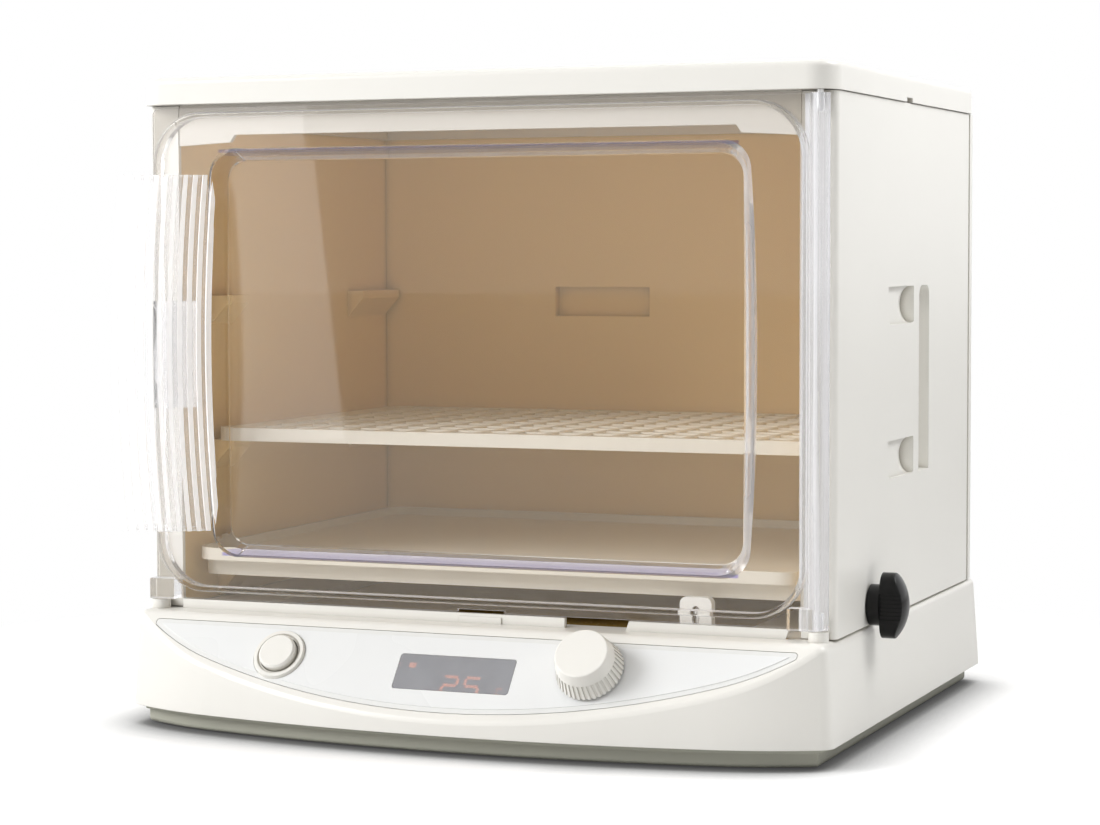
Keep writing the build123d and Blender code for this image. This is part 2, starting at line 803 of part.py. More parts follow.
# lit bars of the figures on the module's face: x, y, width and height of each
segment_face = module_thick - board_depth
rise = figure_height / 2
reach = figure_width / 2
bar_long = figure_width - segment_width / 2
bar_tall = rise - segment_width - segment_gap
bars = {
    "a": (0, rise, bar_long, segment_width),
    "g": (0, 0, bar_long, segment_width),
    "d": (0, -rise, bar_long, segment_width),
    "f": (-reach, rise / 2, segment_width, bar_tall),
    "b": (reach, rise / 2, segment_width, bar_tall),
    "e": (-reach, -rise / 2, segment_width, bar_tall),
    "c": (reach, -rise / 2, segment_width, bar_tall),
}
with BuildPart() as display_digits:
    for figure_x, figure_down, scale, lit in figures:
        for name in lit:
            bar_x, bar_y, bar_width, bar_height = [scale * value for value in bars[name]]
            with BuildSketch(on_slope(figure_x + bar_x, figure_down - bar_y, segment_face)):
                Rectangle(bar_width, bar_height)
            extrude(amount=segment_rise)
    with BuildSketch(on_slope(lamp_x, lamp_down, segment_face)):
        Rectangle(lamp_width, lamp_height)
    extrude(amount=segment_rise)
save(display_digits, "display_digits")

with BuildPart() as control_board:
    with BuildSketch(on_slope(board_x, board_down, -board_depth)):
        RectangleRounded(board_length, board_width, board_corner)
    extrude(amount=-board_thick)
    with BuildSketch(slope_plane.offset(-board_depth)):
        with Locations(*[(x, -down) for x, down in standoff_places]):
            Circle(screw_shank + screw_gap)
    extrude(amount=-board_thick, mode=Mode.SUBTRACT)
save(control_board, "control_board")

board_under = -board_depth - board_thick
screw_seats = [on_slope(x, down, board_under).origin for x, down in standoff_places]
board_screws = screws(
    [Plane(seat, z_dir=-Vector(*slope_normal)) for seat in screw_seats],
    screw_head,
    screw_shank,
    board_thick + screw_reach,
)
save(board_screws, "board_screws")

# ---------------------------------------------------------------- power button
with BuildPart() as button_bezel:
    with BuildSketch(on_slope(button_x, button_down)):
        Circle(bezel_radius)
    extrude(amount=bezel_rise, taper=bezel_lean)
    with BuildSketch(on_slope(button_x, button_down)):
        Circle(bezel_radius - bezel_lap - film_gap)
    extrude(amount=-bezel_neck)
    # dished face down to the button's bore
    with BuildSketch(on_slope(button_x, button_down, bezel_rise - bezel_dish)):
        Circle(bezel_floor)
    extrude(amount=bezel_dish, taper=-bezel_dish_lean, mode=Mode.SUBTRACT)
    with BuildSketch(on_slope(button_x, button_down, bezel_rise)):
        Circle(button_radius + button_gap)
    extrude(amount=-bezel_rise - bezel_neck, mode=Mode.SUBTRACT)
save(button_bezel, "button_bezel")

stem_tip = switch_rise + switch_gap - board_depth
with BuildPart() as power_button:
    with BuildSketch(on_slope(button_x, button_down, -button_depth)):
        Circle(button_radius)
    extrude(amount=button_depth + button_rise)
    chamfer(power_button.edges().sort_by(Axis((0, 0, 0), slope_normal))[-1], button_crown)
    with BuildSketch(on_slope(button_x, button_down, -button_depth)):
        Circle(button_collar)
    extrude(amount=button_collar_thick)
    # hollow skirt, and the stem that works the switch
    with BuildSketch(on_slope(button_x, button_down, -button_depth)):
        Circle(button_radius - button_wall)
    extrude(amount=button_depth - button_wall, mode=Mode.SUBTRACT)
    with BuildSketch(on_slope(button_x, button_down, stem_tip)):
        Circle(stem_radius)
    extrude(amount=-button_wall - stem_tip)
save(power_button, "power_button")

with BuildPart() as power_switch:
    with BuildSketch(on_slope(button_x, button_down, -board_depth)):
        RectangleRounded(switch_size, switch_size, part_round)
    extrude(amount=switch_rise)
    with BuildSketch(on_slope(button_x, button_down, switch_rise - board_depth)):
        Circle(switch_well)
    extrude(amount=-switch_well, mode=Mode.SUBTRACT)
save(power_switch, "power_switch")

# ---------------------------------------------------------------- dial
with BuildPart() as dial_bush:
    with BuildSketch(on_slope(dial_x, dial_down, -panel_thick)):
        Circle(bush_radius + bush_flange)
    extrude(amount=-bush_flange)
    with BuildSketch(on_slope(dial_x, dial_down, -panel_thick)):
        Circle(bush_radius - film_gap)
    extrude(amount=panel_thick + film_thick)
    with BuildSketch(on_slope(dial_x, dial_down, film_thick)):
        Circle(shaft_radius + run_fit)
    extrude(amount=-board_depth, mode=Mode.SUBTRACT)
save(dial_bush, "dial_bush")

with BuildPart() as encoder_body:
    with BuildSketch(on_slope(dial_x, dial_down, -board_depth)):
        RectangleRounded(encoder_size, encoder_size, part_round)
    extrude(amount=encoder_rise)
    with BuildSketch(on_slope(dial_x, dial_down, encoder_floor - board_depth)):
        Circle(plunger_radius + run_fit)
    extrude(amount=encoder_rise, mode=Mode.SUBTRACT)
save(encoder_body, "encoder_body")

plunger_low = encoder_floor + dial_travel + encoder_gap - board_depth
with BuildPart() as encoder_plunger:
    with BuildSketch(on_slope(dial_x, dial_down, plunger_low)):
        Circle(plunger_radius)
    extrude(amount=plunger_thick)
save(encoder_plunger, "encoder_plunger")

dial_low = film_thick + dial_gap
shaft_low = plunger_low + plunger_thick
with BuildPart() as dial_shaft:
    with BuildSketch(on_slope(dial_x, dial_down, shaft_low)):
        Circle(shaft_radius)
    extrude(amount=dial_low + dial_rise - dial_top_wall - shaft_low)
    # flat that keys the shaft in the dial
    with BuildSketch(on_slope(dial_x + shaft_radius, dial_down, dial_low)):
        Rectangle(shaft_radius, 2 * shaft_radius)
    extrude(amount=dial_rise, mode=Mode.SUBTRACT)
save(dial_shaft, "dial_shaft")

dial_plane = on_slope(dial_x, dial_down, dial_low)
dial_axis = Axis(dial_plane.origin, dial_plane.z_dir)
dial_lean = atan((dial_base_radius - dial_top_radius) / dial_rise)
with BuildPart() as dial_groove:
    groove_plane = Plane(
        dial_plane.from_local_coords((dial_base_radius, 0, 0)),
        x_dir=dial_plane.x_dir * cos(dial_lean) + dial_plane.z_dir * sin(dial_lean),
        z_dir=dial_plane.z_dir * cos(dial_lean) - dial_plane.x_dir * sin(dial_lean),
    )
    with BuildSketch(groove_plane.offset(-groove_width)):
        Rectangle(2 * groove_depth, groove_width)
    extrude(amount=dial_skirt + groove_width)

with BuildPart() as dial_knob:
    with BuildSketch(dial_plane):
        Circle(dial_base_radius)
    extrude(amount=dial_rise, taper=degrees(dial_lean))
    fillet(dial_knob.edges().sort_by(dial_axis)[-1], dial_edge)
    # hollow underside
    with BuildSketch(dial_plane):
        Circle(dial_base_radius - dial_side)
    extrude(amount=dial_rise - dial_top_wall, taper=degrees(dial_lean), mode=Mode.SUBTRACT)
    # ribbed skirt
    for number in range(dial_ribs):
        add(dial_groove.part.rotate(dial_axis, number * 360 / dial_ribs), mode=Mode.SUBTRACT)
    # hub with its keyed bore
    with BuildSketch(dial_plane):
        Circle(hub_radius)
    extrude(amount=dial_rise - dial_top_wall)
    with BuildSketch(dial_plane):
        Circle(shaft_radius)
        with Locations((shaft_radius, 0)):
            Rectangle(shaft_radius, 2 * shaft_radius, mode=Mode.SUBTRACT)
    extrude(amount=dial_rise - dial_top_wall, mode=Mode.SUBTRACT)
save(dial_knob, "dial_knob")

# ---------------------------------------------------------------- heater, inside the base
plate_seat = seam - well_drop + skin
with BuildPart() as heater_plate:
    with BuildSketch(Plane(origin=(0, well_middle, plate_seat))):
        RectangleRounded(2 * (well_half - rest_gap), well_length - 2 * rest_gap, well_corner)
    extrude(amount=heater_plate_thick)
save(heater_plate, "heater_plate")

element_x = well_half - well_lip - element_margin
element_span = well_length / 2 - element_end
row_places = [well_middle + element_span * (2 * row / (element_rows - 1) - 1) for row in range(element_rows)]
element_z = plate_seat - element_radius - run_fit
element_turns = []
for row, row_y in enumerate(row_places):
    way = 1 if row % 2 else -1
    element_turns += [(way * element_x, row_y), (-way * element_x, row_y)]
with BuildPart() as heater_element:
    with BuildLine(Plane.XY.offset(element_z)) as element_path:
        FilletPolyline(*element_turns, radius=element_turn)
    with BuildSketch(Plane(origin=element_path.line @ 0, z_dir=element_path.line % 0)):
        Circle(element_radius)
    sweep(path=element_path.line)
save(heater_element, "heater_element")

clip_half = element_radius + clip_wall
with BuildPart() as element_clips:
    for clip_x in (-element_x / 2, element_x / 2):
        with BuildSketch(yz_plane(clip_x)):
            for clip_y in row_places:
                with Locations((clip_y, (plate_seat + element_z - clip_half) / 2)):
                    Rectangle(2 * clip_half, plate_seat - element_z + clip_half)
                with Locations((clip_y, element_z)):
                    Circle(element_radius + run_fit / 2, mode=Mode.SUBTRACT)
        extrude(amount=clip_length)
save(element_clips, "element_clips")

with BuildPart() as thermal_cutout:
    with BuildSketch(Plane(origin=(0, well_middle, plate_seat))):
        Circle(cutout_radius)
    extrude(amount=-cutout_thick)
    with BuildSketch(Plane(origin=(0, well_middle, plate_seat - cutout_thick))):
        with Locations((-cutout_radius / 2, 0), (cutout_radius / 2, 0)):
            Rectangle(cutout_tab_thick, cutout_tab)
    extrude(amount=-2 * cutout_tab)
save(thermal_cutout, "thermal_cutout")

pan_top = seam - well_drop
pan_half = well_half - well_lip
pan_length = well_length - 2 * well_lip
pan_corner = well_corner - well_lip
with BuildPart() as reflector_pan:
    with BuildSketch(Plane(origin=(0, well_middle, pan_top))):
        RectangleRounded(2 * well_half, well_length, well_corner)
    extrude(amount=-pan_wall)
    with BuildSketch(Plane(origin=(0, well_middle, pan_top))):
        RectangleRounded(2 * pan_half, pan_length, pan_corner)
    extrude(amount=-pan_drop - pan_wall)
    with BuildSketch(Plane(origin=(0, well_middle, pan_top))):
        RectangleRounded(2 * (pan_half - pan_wall), pan_length - 2 * pan_wall, pan_corner - pan_wall)
    extrude(amount=-pan_drop, mode=Mode.SUBTRACT)
save(reflector_pan, "reflector_pan")

# ---------------------------------------------------------------- temperature sensor
sensor_y = front + sensor_back
with BuildPart() as sensor_cover:
    with BuildSketch(xz_plane(sensor_y)):
        with Locations((sensor_x, seam + sensor_rise / 2)):
            Rectangle(sensor_width, sensor_rise)
    extrude(amount=-sensor_depth)
    fillet(sensor_cover.faces().sort_by(Axis.Z)[-1].edges().filter_by(Axis.Y), sensor_round)
    # hollow that is open to the back, and a slot that lets the air in
    with BuildSketch(xz_plane(sensor_y + sensor_wall)):
        with Locations((sensor_x, seam + (sensor_rise - sensor_wall) / 2)):
            Rectangle(sensor_width - 2 * sensor_round, sensor_rise - sensor_wall)
    extrude(amount=-sensor_depth, mode=Mode.SUBTRACT)
    with BuildSketch(xz_plane(sensor_y)):
        with Locations((sensor_x, seam + sensor_rise / 2)):
            SlotOverall(sensor_rise / 2, sensor_slot, rotation=90)
    extrude(amount=-sensor_wall, mode=Mode.SUBTRACT)
save(sensor_cover, "sensor_cover")

with BuildPart() as temperature_sensor:
    with BuildSketch(Plane(origin=(sensor_x, sensor_y + (sensor_wall + sensor_depth) / 2, seam))):
        Circle(probe_radius)
    extrude(amount=probe_rise)
    fillet(temperature_sensor.faces().sort_by(Axis.Z)[-1].edges(), probe_radius / 2)
save(temperature_sensor, "temperature_sensor")

# ---------------------------------------------------------------- power supply
board_low = plate_bottom + plate_floor + supply_post
with BuildPart() as power_board:
    with BuildSketch(Plane(origin=(0, 0, board_low))):
        with Locations((supply_x, supply_y)):
            RectangleRounded(supply_length, supply_width, board_corner)
        with Locations(*supply_posts):
            Circle(screw_shank + screw_gap, mode=Mode.SUBTRACT)
    extrude(amount=board_thick)
save(power_board, "power_board")

supply_face = board_low + board_thick
supply_screws = screws(
    [Plane(origin=(x, y, supply_face)) for x, y in supply_posts],
    screw_head,
    screw_shank,
    board_thick + supply_post - screw_tip_gap,
)
save(supply_screws, "supply_screws")

with BuildPart() as transformer:
    for (length, width, tall), lift in ((transformer_size, 0), (winding_size, winding_lift)):
        with BuildSketch(Plane(origin=(supply_x + transformer_shift, supply_y, supply_face + lift))):
            RectangleRounded(length, width, part_round)
        extrude(amount=tall)
save(transformer, "transformer")

with BuildPart() as relay:
    with BuildSketch(Plane(origin=(supply_x - relay_shift, supply_y + relay_spread, supply_face))):
        RectangleRounded(relay_size[0], relay_size[1], part_round)
    extrude(amount=relay_size[2])
save(relay, "relay")

with BuildPart() as capacitor:
    with BuildSketch(Plane(origin=(supply_x - relay_shift, supply_y - relay_spread, supply_face))):
        Circle(capacitor_radius)
    extrude(amount=capacitor_rise)
    fillet(capacitor.faces().sort_by(Axis.Z)[-1].edges(), part_round)
save(capacitor, "capacitor")

sleeve_end = pocket_floor + gland_proud
with BuildPart() as cord_gland:
    # inner snap ring, body through the wall, outer flange and sleeve
    for start, length, radius in (
        (sleeve_end - gland_length, gland_length, gland_sleeve),
        (pocket_floor - skin - gland_lap_thick, gland_lap_thick, gland_body + gland_lap),
        (pocket_floor - skin, skin, gland_body - run_fit),
        (pocket_floor, gland_flange_thick, gland_flange),
    ):
        with BuildSketch(xz_plane(start)):
            with Locations((gland_x, gland_height)):
                Circle(radius)
        extrude(amount=-length)
    with BuildSketch(xz_plane(sleeve_end)):
        with Locations((gland_x, gland_height)):
            Circle(gland_bore)
    extrude(amount=gland_length, mode=Mode.SUBTRACT)
save(cord_gland, "cord_gland")

# ---------------------------------------------------------------- side walls
side_y = front + wall_depth / 2
recess_height = seam + (recess_low + recess_high) / 2
scoop_heights = [seam + recess_low + recess_square / 2, seam + recess_high - recess_square / 2]
with BuildPart() as right_wall_shell:
    with BuildSketch(yz_plane(shell_in)):
        with Locations((side_y, wall_middle)):
            Rectangle(wall_depth, wall_height)
    extrude(amount=half - shell_in)
    fillet(right_wall_shell.faces().sort_by(Axis.X)[-1].edges().filter_by(Axis.Z), wall_round)
    with BuildSketch(yz_plane(shell_in)):
        with Locations((side_y, wall_middle)):
            Rectangle(wall_depth - 2 * skin, wall_height - 2 * skin)
    extrude(amount=half - shell_in - skin, mode=Mode.SUBTRACT)
    # front band that frames the chamber's mouth
    with BuildSketch(xz_plane(front)):
        with Locations(((mouth_half + shell_in + skin) / 2, wall_middle)):
            Rectangle(shell_in + skin - mouth_half, wall_height)
    extrude(amount=-skin)
    # bodies of the moulded recesses
    with BuildSketch(yz_plane(shell_in)):
        for height in scoop_heights:
            with Locations((front + (recess_front + recess_split) / 2, height)):
                Rectangle(recess_split - recess_front + 2 * skin, recess_square + 2 * skin)
        with Locations((front + (recess_bar + recess_rear) / 2, recess_height)):
            Rectangle(recess_rear - recess_bar + 2 * skin, recess_high - recess_low + 2 * skin)
    extrude(amount=half - shell_in - skin)
    # upright groove, rounded at its rear corners
    with BuildSketch(yz_plane(half)):
        with Locations((front + (recess_bar + recess_rear) / 2, recess_height)):
            groove = Rectangle(recess_rear - recess_bar, recess_high - recess_low)
        fillet(groove.vertices().group_by(Axis.Y)[-1], recess_round)
    extrude(amount=-recess_depth, mode=Mode.SUBTRACT)
    # finger scoops: rounded at their front corners, and falling in an oval run to the full depth
    for height in scoop_heights:
        with BuildSketch(yz_plane(half)):
            with Locations((front + (recess_front + recess_split) / 2, height)):
                scoop = Rectangle(recess_split - recess_front, recess_square)
            fillet(scoop.vertices().group_by(Axis.Y)[0], recess_round)
        extrude(amount=-scoop_step, mode=Mode.SUBTRACT)
        with BuildSketch(xz_plane(front + recess_split)):
            with Locations((half - scoop_step, height)):
                Ellipse(recess_depth - scoop_step, recess_square / 2)
        extrude(amount=scoop_run, dir=(recess_depth - scoop_step, -scoop_run, 0), mode=Mode.SUBTRACT)
    # knuckles between the base's folding ears, in gaps that clear those ears
    for ear_y in side_ears:
        with BuildSketch(yz_plane(shell_in)):
            with Locations((ear_y, wall_low + ear_rise / 2)):
                Rectangle(ear_spacing + 2 * ear_thick, ear_rise + 2 * ear_gap)
        extrude(amount=half - shell_in - skin, mode=Mode.SUBTRACT)
        with BuildSketch(yz_plane(shell_in)):
            with Locations((ear_y, wall_low + ear_rise / 2)):
                Rectangle(ear_spacing - ear_thick - 2 * ear_gap, ear_rise)
        extrude(amount=half - shell_in - skin / 2)
        with BuildSketch(xz_plane(ear_y)):
            with Locations((fold_x, seam + pin_height)):
                Circle(fold_pin_radius + run_fit)
        extrude(amount=ear_spacing / 2, both=True, mode=Mode.SUBTRACT)
    # hole for the lock's shaft, and the gap that its cam turns in
    with BuildSketch(yz_plane(half)):
        with Locations((knob_y, knob_z)):
            Circle(cam_shaft_radius + run_fit)
    extrude(amount=-2 * skin, mode=Mode.SUBTRACT)
    with BuildSketch(yz_plane(shell_in)):
        with Locations((knob_y + cam_slot_shift, wall_low)):
            Rectangle(cam_slot_length, 2 * (skin + cam_gap))
    extrude(amount=half - shell_in - skin, mode=Mode.SUBTRACT)
save(right_wall_shell, "right_wall_shell")

with BuildPart() as left_wall_shell:
    mirror(right_wall_shell.part, about=Plane.YZ)
save(left_wall_shell, "left_wall_shell")

liner_length = wall_depth - skin
rest_back = wall_depth + back_behind - back_thick - rest_back_gap - rest_back_length
with BuildPart() as right_wall_liner:
    with BuildSketch(yz_plane(chamber_half)):
        with Locations((front + skin + liner_length / 2, wall_middle)):
            Rectangle(liner_length, wall_height)
    extrude(amount=liner_thick)
    # wedge-shaped rests for the shelves: a front and a rear one at three heights
    for level in (low_level, shelf_level, top_level):
        top = seam + level - rest_gap
        for start, length in ((rest_front, rest_front_length), (rest_back, rest_back_length)):
            with BuildSketch(xz_plane(front + start)):
                with BuildLine():
                    Polyline(
                        (chamber_half, top),
                        (chamber_half - rest_reach, top),
                        (chamber_half - rest_reach, top - rest_tip),
                        (chamber_half, top - rest_drop),
                        close=True,
                    )
                make_face()
            extrude(amount=-length)
save(right_wall_liner, "right_wall_liner")

with BuildPart() as left_wall_liner:
    mirror(right_wall_liner.part, about=Plane.YZ)
save(left_wall_liner, "left_wall_liner")

# ---------------------------------------------------------------- back wall
insert_half = chamber_half - rest_gap
step_y = back_outer - back_behind + rest_gap
with BuildPart() as back_wall_shell:
    with BuildSketch(xz_plane(back_outer)):
        with Locations((0, wall_middle)):
            Rectangle(body_width, wall_height)
    extrude(amount=back_outer - step_y)
    fillet(back_wall_shell.faces().sort_by(Axis.Y)[-1].edges().filter_by(Axis.Z), wall_round)
    with BuildSketch(xz_plane(step_y)):
        with Locations((0, wall_middle)):
            Rectangle(2 * insert_half, wall_height)
    extrude(amount=step_y - back_inner - liner_thick)
    with BuildSketch(xz_plane(back_outer - skin)):
        with Locations((0, wall_middle)):
            Rectangle(2 * (insert_half - skin), wall_height - 2 * skin)
    extrude(amount=back_thick, mode=Mode.SUBTRACT)
    for ear_x in back_ears:
        with BuildSketch(xz_plane(back_outer - skin)):
            with Locations((ear_x, wall_low + ear_rise / 2)):
                Rectangle(ear_spacing + 2 * ear_thick, ear_rise + 2 * ear_gap)
        extrude(amount=back_thick, mode=Mode.SUBTRACT)
        with BuildSketch(xz_plane(back_outer - skin / 2)):
            with Locations((ear_x, wall_low + ear_rise / 2)):
                Rectangle(ear_spacing - ear_thick - 2 * ear_gap, ear_rise)
        extrude(amount=back_thick - liner_thick - skin)
        with BuildSketch(yz_plane(ear_x)):
            with Locations((fold_y, seam + pin_height)):
                Circle(fold_pin_radius + run_fit)
        extrude(amount=ear_spacing / 2, both=True, mode=Mode.SUBTRACT)
save(back_wall_shell, "back_wall_shell")

with BuildPart() as back_wall_liner:
    with BuildSketch(xz_plane(back_inner + liner_thick)):
        with Locations((0, wall_middle)):
            Rectangle(2 * insert_half, wall_height)
    extrude(amount=liner_thick)
    # finger recess
    with BuildSketch(xz_plane(back_inner + liner_thick + pocket_depth)):
        with Locations((pocket_x, seam + pocket_height)):
            Rectangle(pocket_width + 2 * liner_thick, pocket_rise + 2 * liner_thick)
    extrude(amount=pocket_depth)
    with BuildSketch(xz_plane(back_inner + pocket_depth)):
        with Locations((pocket_x, seam + pocket_height)):
            Rectangle(pocket_width, pocket_rise)
    extrude(amount=pocket_depth, mode=Mode.SUBTRACT)
save(back_wall_liner, "back_wall_liner")

with BuildPart() as folding_pins:
    for plane in ear_planes:
        with BuildSketch(ear_bore(plane)):
            Circle(fold_pin_radius - run_fit)
        extrude(amount=(ear_spacing + ear_thick) / 2, both=True)
save(folding_pins, "folding_pins")

# ---------------------------------------------------------------- lock knobs
neck_x = half + knob_gap
grip_x = neck_x + knob_neck_length
knob_fall = knob_thick - knob_end_thick
knob_dome = ((knob_length / 2) ** 2 + knob_fall ** 2) / (2 * knob_fall)
with BuildPart() as right_lock_knob:
    with BuildSketch(yz_plane(neck_x)):
        with Locations((knob_y, knob_z)):
            Circle(knob_neck_radius)
    extrude(amount=knob_neck_length)
    with BuildSketch(yz_plane(grip_x)):
        with Locations((knob_y, knob_z)):
            SlotOverall(knob_length, knob_width, rotation=90)
    extrude(amount=knob_thick)
    # face domed like a lens
    with Locations((grip_x + knob_thick - knob_dome, knob_y, knob_z)):
        Sphere(knob_dome, mode=Mode.INTERSECT)
    fillet(right_lock_knob.faces().sort_by(Axis.X)[-1].edges(), knob_crown)
    # finger serrations along both long sides
    with BuildSketch(yz_plane(grip_x)):
        with Locations((knob_y - knob_width / 2, knob_z), (knob_y + knob_width / 2, knob_z)):
            with GridLocations(0, knob_rib_pitch, 1, knob_rib_count):
                Rectangle(2 * knob_rib_depth, knob_rib_pitch / 2)
    extrude(amount=knob_thick, mode=Mode.SUBTRACT)
    # square socket for the cam's shaft
    with BuildSketch(yz_plane(neck_x)):
        with Locations((knob_y, knob_z)):
            Rectangle(2 * cam_square, 2 * cam_square)
    extrude(amount=knob_neck_length, mode=Mode.SUBTRACT)
save(right_lock_knob, "right_lock_knob")

with BuildPart() as right_lock_cam:
    # shaft through the wall, its collar, its square end in the knob, and the tongue that locks
    cam_face = cam_x - cam_thick / 2
    for start, end, radius in (
        (cam_face, neck_x, cam_shaft_radius),
        (cam_face, half - skin - rest_gap, cam_collar),
    ):
        with BuildSketch(yz_plane(start)):
            with Locations((knob_y, knob_z)):
                Circle(radius)
        extrude(amount=end - start)
    with BuildSketch(yz_plane(neck_x)):
        with Locations((knob_y, knob_z)):
            Rectangle(2 * cam_square, 2 * cam_square)
    extrude(amount=knob_neck_length)
    with BuildSketch(yz_plane(cam_face)):
        with Locations((knob_y, knob_z - cam_reach / 2)):
            Rectangle(cam_width, cam_reach)
    extrude(amount=cam_thick)
save(right_lock_cam, "right_lock_cam")

with BuildPart() as left_lock_knob:
    mirror(right_lock_knob.part, about=Plane.YZ)
save(left_lock_knob, "left_lock_knob")

with BuildPart() as left_lock_cam:
    mirror(right_lock_cam.part, about=Plane.YZ)
save(left_lock_cam, "left_lock_cam")

# ---------------------------------------------------------------- lid
lid_low = wall_top + lid_gap
lid_back = back_outer + lid_overhang_side
lid_front = front - lid_overhang_front
lid_middle = (lid_front + lid_back) / 2
lid_half = half + lid_overhang_side
lid_length = lid_back - lid_front
lid_bosses = [
    (i * (lid_half - lid_boss_inset_x), lid_middle + j * (lid_length / 2 - lid_boss_inset_y))
    for i in (-1, 1)
    for j in (-1, 1)
]
with BuildPart() as lid_cover:
    with BuildSketch(Plane(origin=(0, lid_middle, lid_low))):
        RectangleRounded(2 * lid_half, lid_length, lid_corner)
    extrude(amount=lid_rise)
    fillet(lid_cover.faces().sort_by(Axis.Z)[-1].edges(), lid_edge)
    with BuildSketch(Plane(origin=(0, lid_middle, lid_low))):
        RectangleRounded(2 * (lid_half - skin), lid_length - 2 * skin, lid_corner - skin)
    extrude(amount=lid_rise - skin, mode=Mode.SUBTRACT)
    # boss and socket for the door's upper pin
    with BuildSketch(Plane(origin=(hinge_x, front - hinge_reach, lid_low))):
        Circle(socket_boss)
    extrude(amount=lid_rise - skin)
    with BuildSketch(Plane(origin=(hinge_x, front - hinge_reach, lid_low))):
        Circle(pin_radius + socket_fit)
    extrude(amount=socket_depth, mode=Mode.SUBTRACT)
    # screw bosses, and a finger notch in the right edge
    with BuildSketch(Plane.XY.offset(lid_low + skin)):
        with Locations(*lid_bosses):
            Circle(boss_radius)
            Circle(pilot_radius, mode=Mode.SUBTRACT)
    extrude(amount=lid_rise - 2 * skin)
    with BuildSketch(Plane(origin=(lid_half, front + lid_notch_back, lid_low))):
        Rectangle(2 * skin, lid_notch_width)
    extrude(amount=lid_notch_rise, mode=Mode.SUBTRACT)
save(lid_cover, "lid_cover")

frame_half = lid_half - skin - panel_gap
frame_length = lid_length - 2 * (skin + panel_gap)
lip_half = chamber_half - wall_gap
lip_front = front + skin + wall_gap
lip_back = back_inner - wall_gap
lip_length = lip_back - lip_front
header_half = mouth_half - header_gap
gusset_flat = mouth_half - gusset_flat_inset
gusset_end = mouth_half - gusset_end_inset
with BuildPart() as lid_frame:
    with BuildSketch(Plane(origin=(0, lid_middle, lid_low))):
        RectangleRounded(2 * frame_half, frame_length, lid_corner - skin)
        with Locations(*[(x, y - lid_middle) for x, y in lid_bosses]):
            Circle(screw_shank + screw_gap, mode=Mode.SUBTRACT)
        with Locations((hinge_x, front - hinge_reach - lid_middle)):
            Circle(socket_boss + screw_gap, mode=Mode.SUBTRACT)
    extrude(amount=skin)
    # lip that locates the lid inside the walls
    with BuildSketch(Plane(origin=(0, (lip_front + lip_back) / 2, lid_low))):
        Rectangle(2 * lip_half, lip_length)
        Rectangle(2 * (lip_half - skin), lip_length - 2 * skin, mode=Mode.SUBTRACT)
    extrude(amount=-lid_lip_drop)
    # header over the chamber's mouth, with a stepped gusset in each corner
    with BuildSketch(xz_plane(front + header_gap)):
        with BuildLine():
            Polyline(
                (-header_half, lid_low),
                (-header_half, wall_top - gusset_drop),
                (-gusset_flat, wall_top - gusset_drop + gusset_step),
                (-gusset_end, wall_top - header_drop),
                (gusset_end, wall_top - header_drop),
                (gusset_flat, wall_top - gusset_drop + gusset_step),
                (header_half, wall_top - gusset_drop),
                (header_half, lid_low),
                close=True,
            )
        make_face()
    extrude(amount=-header_thick)
save(lid_frame, "lid_frame")

with BuildPart() as lid_liner:
    with BuildSketch(Plane(origin=(0, (lip_front + lip_back) / 2, lid_low))):
        Rectangle(2 * (lip_half - skin - panel_gap), lip_length - 2 * (skin + panel_gap))
        with Locations(*[(x, y - (lip_front + lip_back) / 2) for x, y in lid_bosses]):
            Circle(screw_head + screw_gap, mode=Mode.SUBTRACT)
    extrude(amount=-liner_thick)
save(lid_liner, "lid_liner")

lid_screws = screws(
    [Plane(origin=(x, y, lid_low), z_dir=(0, 0, -1)) for x, y in lid_bosses],
    screw_head,
    screw_shank,
    screw_reach,
)
save(lid_screws, "lid_screws")

# ---------------------------------------------------------------- door
ridge_left = half - ridge_left_inset
ridge_right = half - ridge_right_inset
ridge_top = door_top - ridge_top_gap
window_half = half - window_inset
window_high = door_top - window_head
pane_half = window_half - window_taper_side
pane_low = window_low + window_taper_low
pane_high = window_high - window_taper_high


def door_plane(reach):
    """A plane across Y, that far ahead of the side walls, with Z counted from the seam."""
    return Plane(origin=(0, front - reach, seam), x_dir=(1, 0, 0), z_dir=(0, -1, 0))


def window_face(half_width, bulge, low, high, corner, grow):
    """Outline of the door's window, grown by a wall: straight top and foot, sides that bow outwards."""
    with BuildSketch() as face:
        with BuildLine():
            half_width += grow
            low -= grow
            high += grow
            middle = (low + high) / 2
            Line((-half_width, high), (half_width, high))
            Line((-half_width, low), (half_width, low))
            for side in (-half_width, half_width):
                ThreePointArc((side, low), (side * (1 + bulge / half_width), middle), (side, high))
        make_face()
        fillet(face.vertices(), corner)
    return face.sketch


def ridge_face(inset):
    """Outline of the raised frame around the door, drawn in from its edge."""
    with BuildSketch() as face:
        with Locations(((ridge_right - ridge_left) / 2, (ridge_top + ridge_bottom) / 2)):
            RectangleRounded(
                ridge_left + ridge_right - 2 * inset,
                ridge_top - ridge_bottom - 2 * inset,
                ridge_corner - inset,
            )
    return face.sketch


def window_body(grow, near, far):
    """The window's tapering recess between two depths, from the door's face to its pane."""
    with BuildPart() as body:
        with BuildSketch(door_plane(near)):
            add(window_face(window_half, window_bulge, window_low, window_high, window_corner, grow))
        with BuildSketch(door_plane(far)):
            add(window_face(pane_half, pane_bulge, pane_low, pane_high, pane_corner, grow))
        loft()
    return body.part


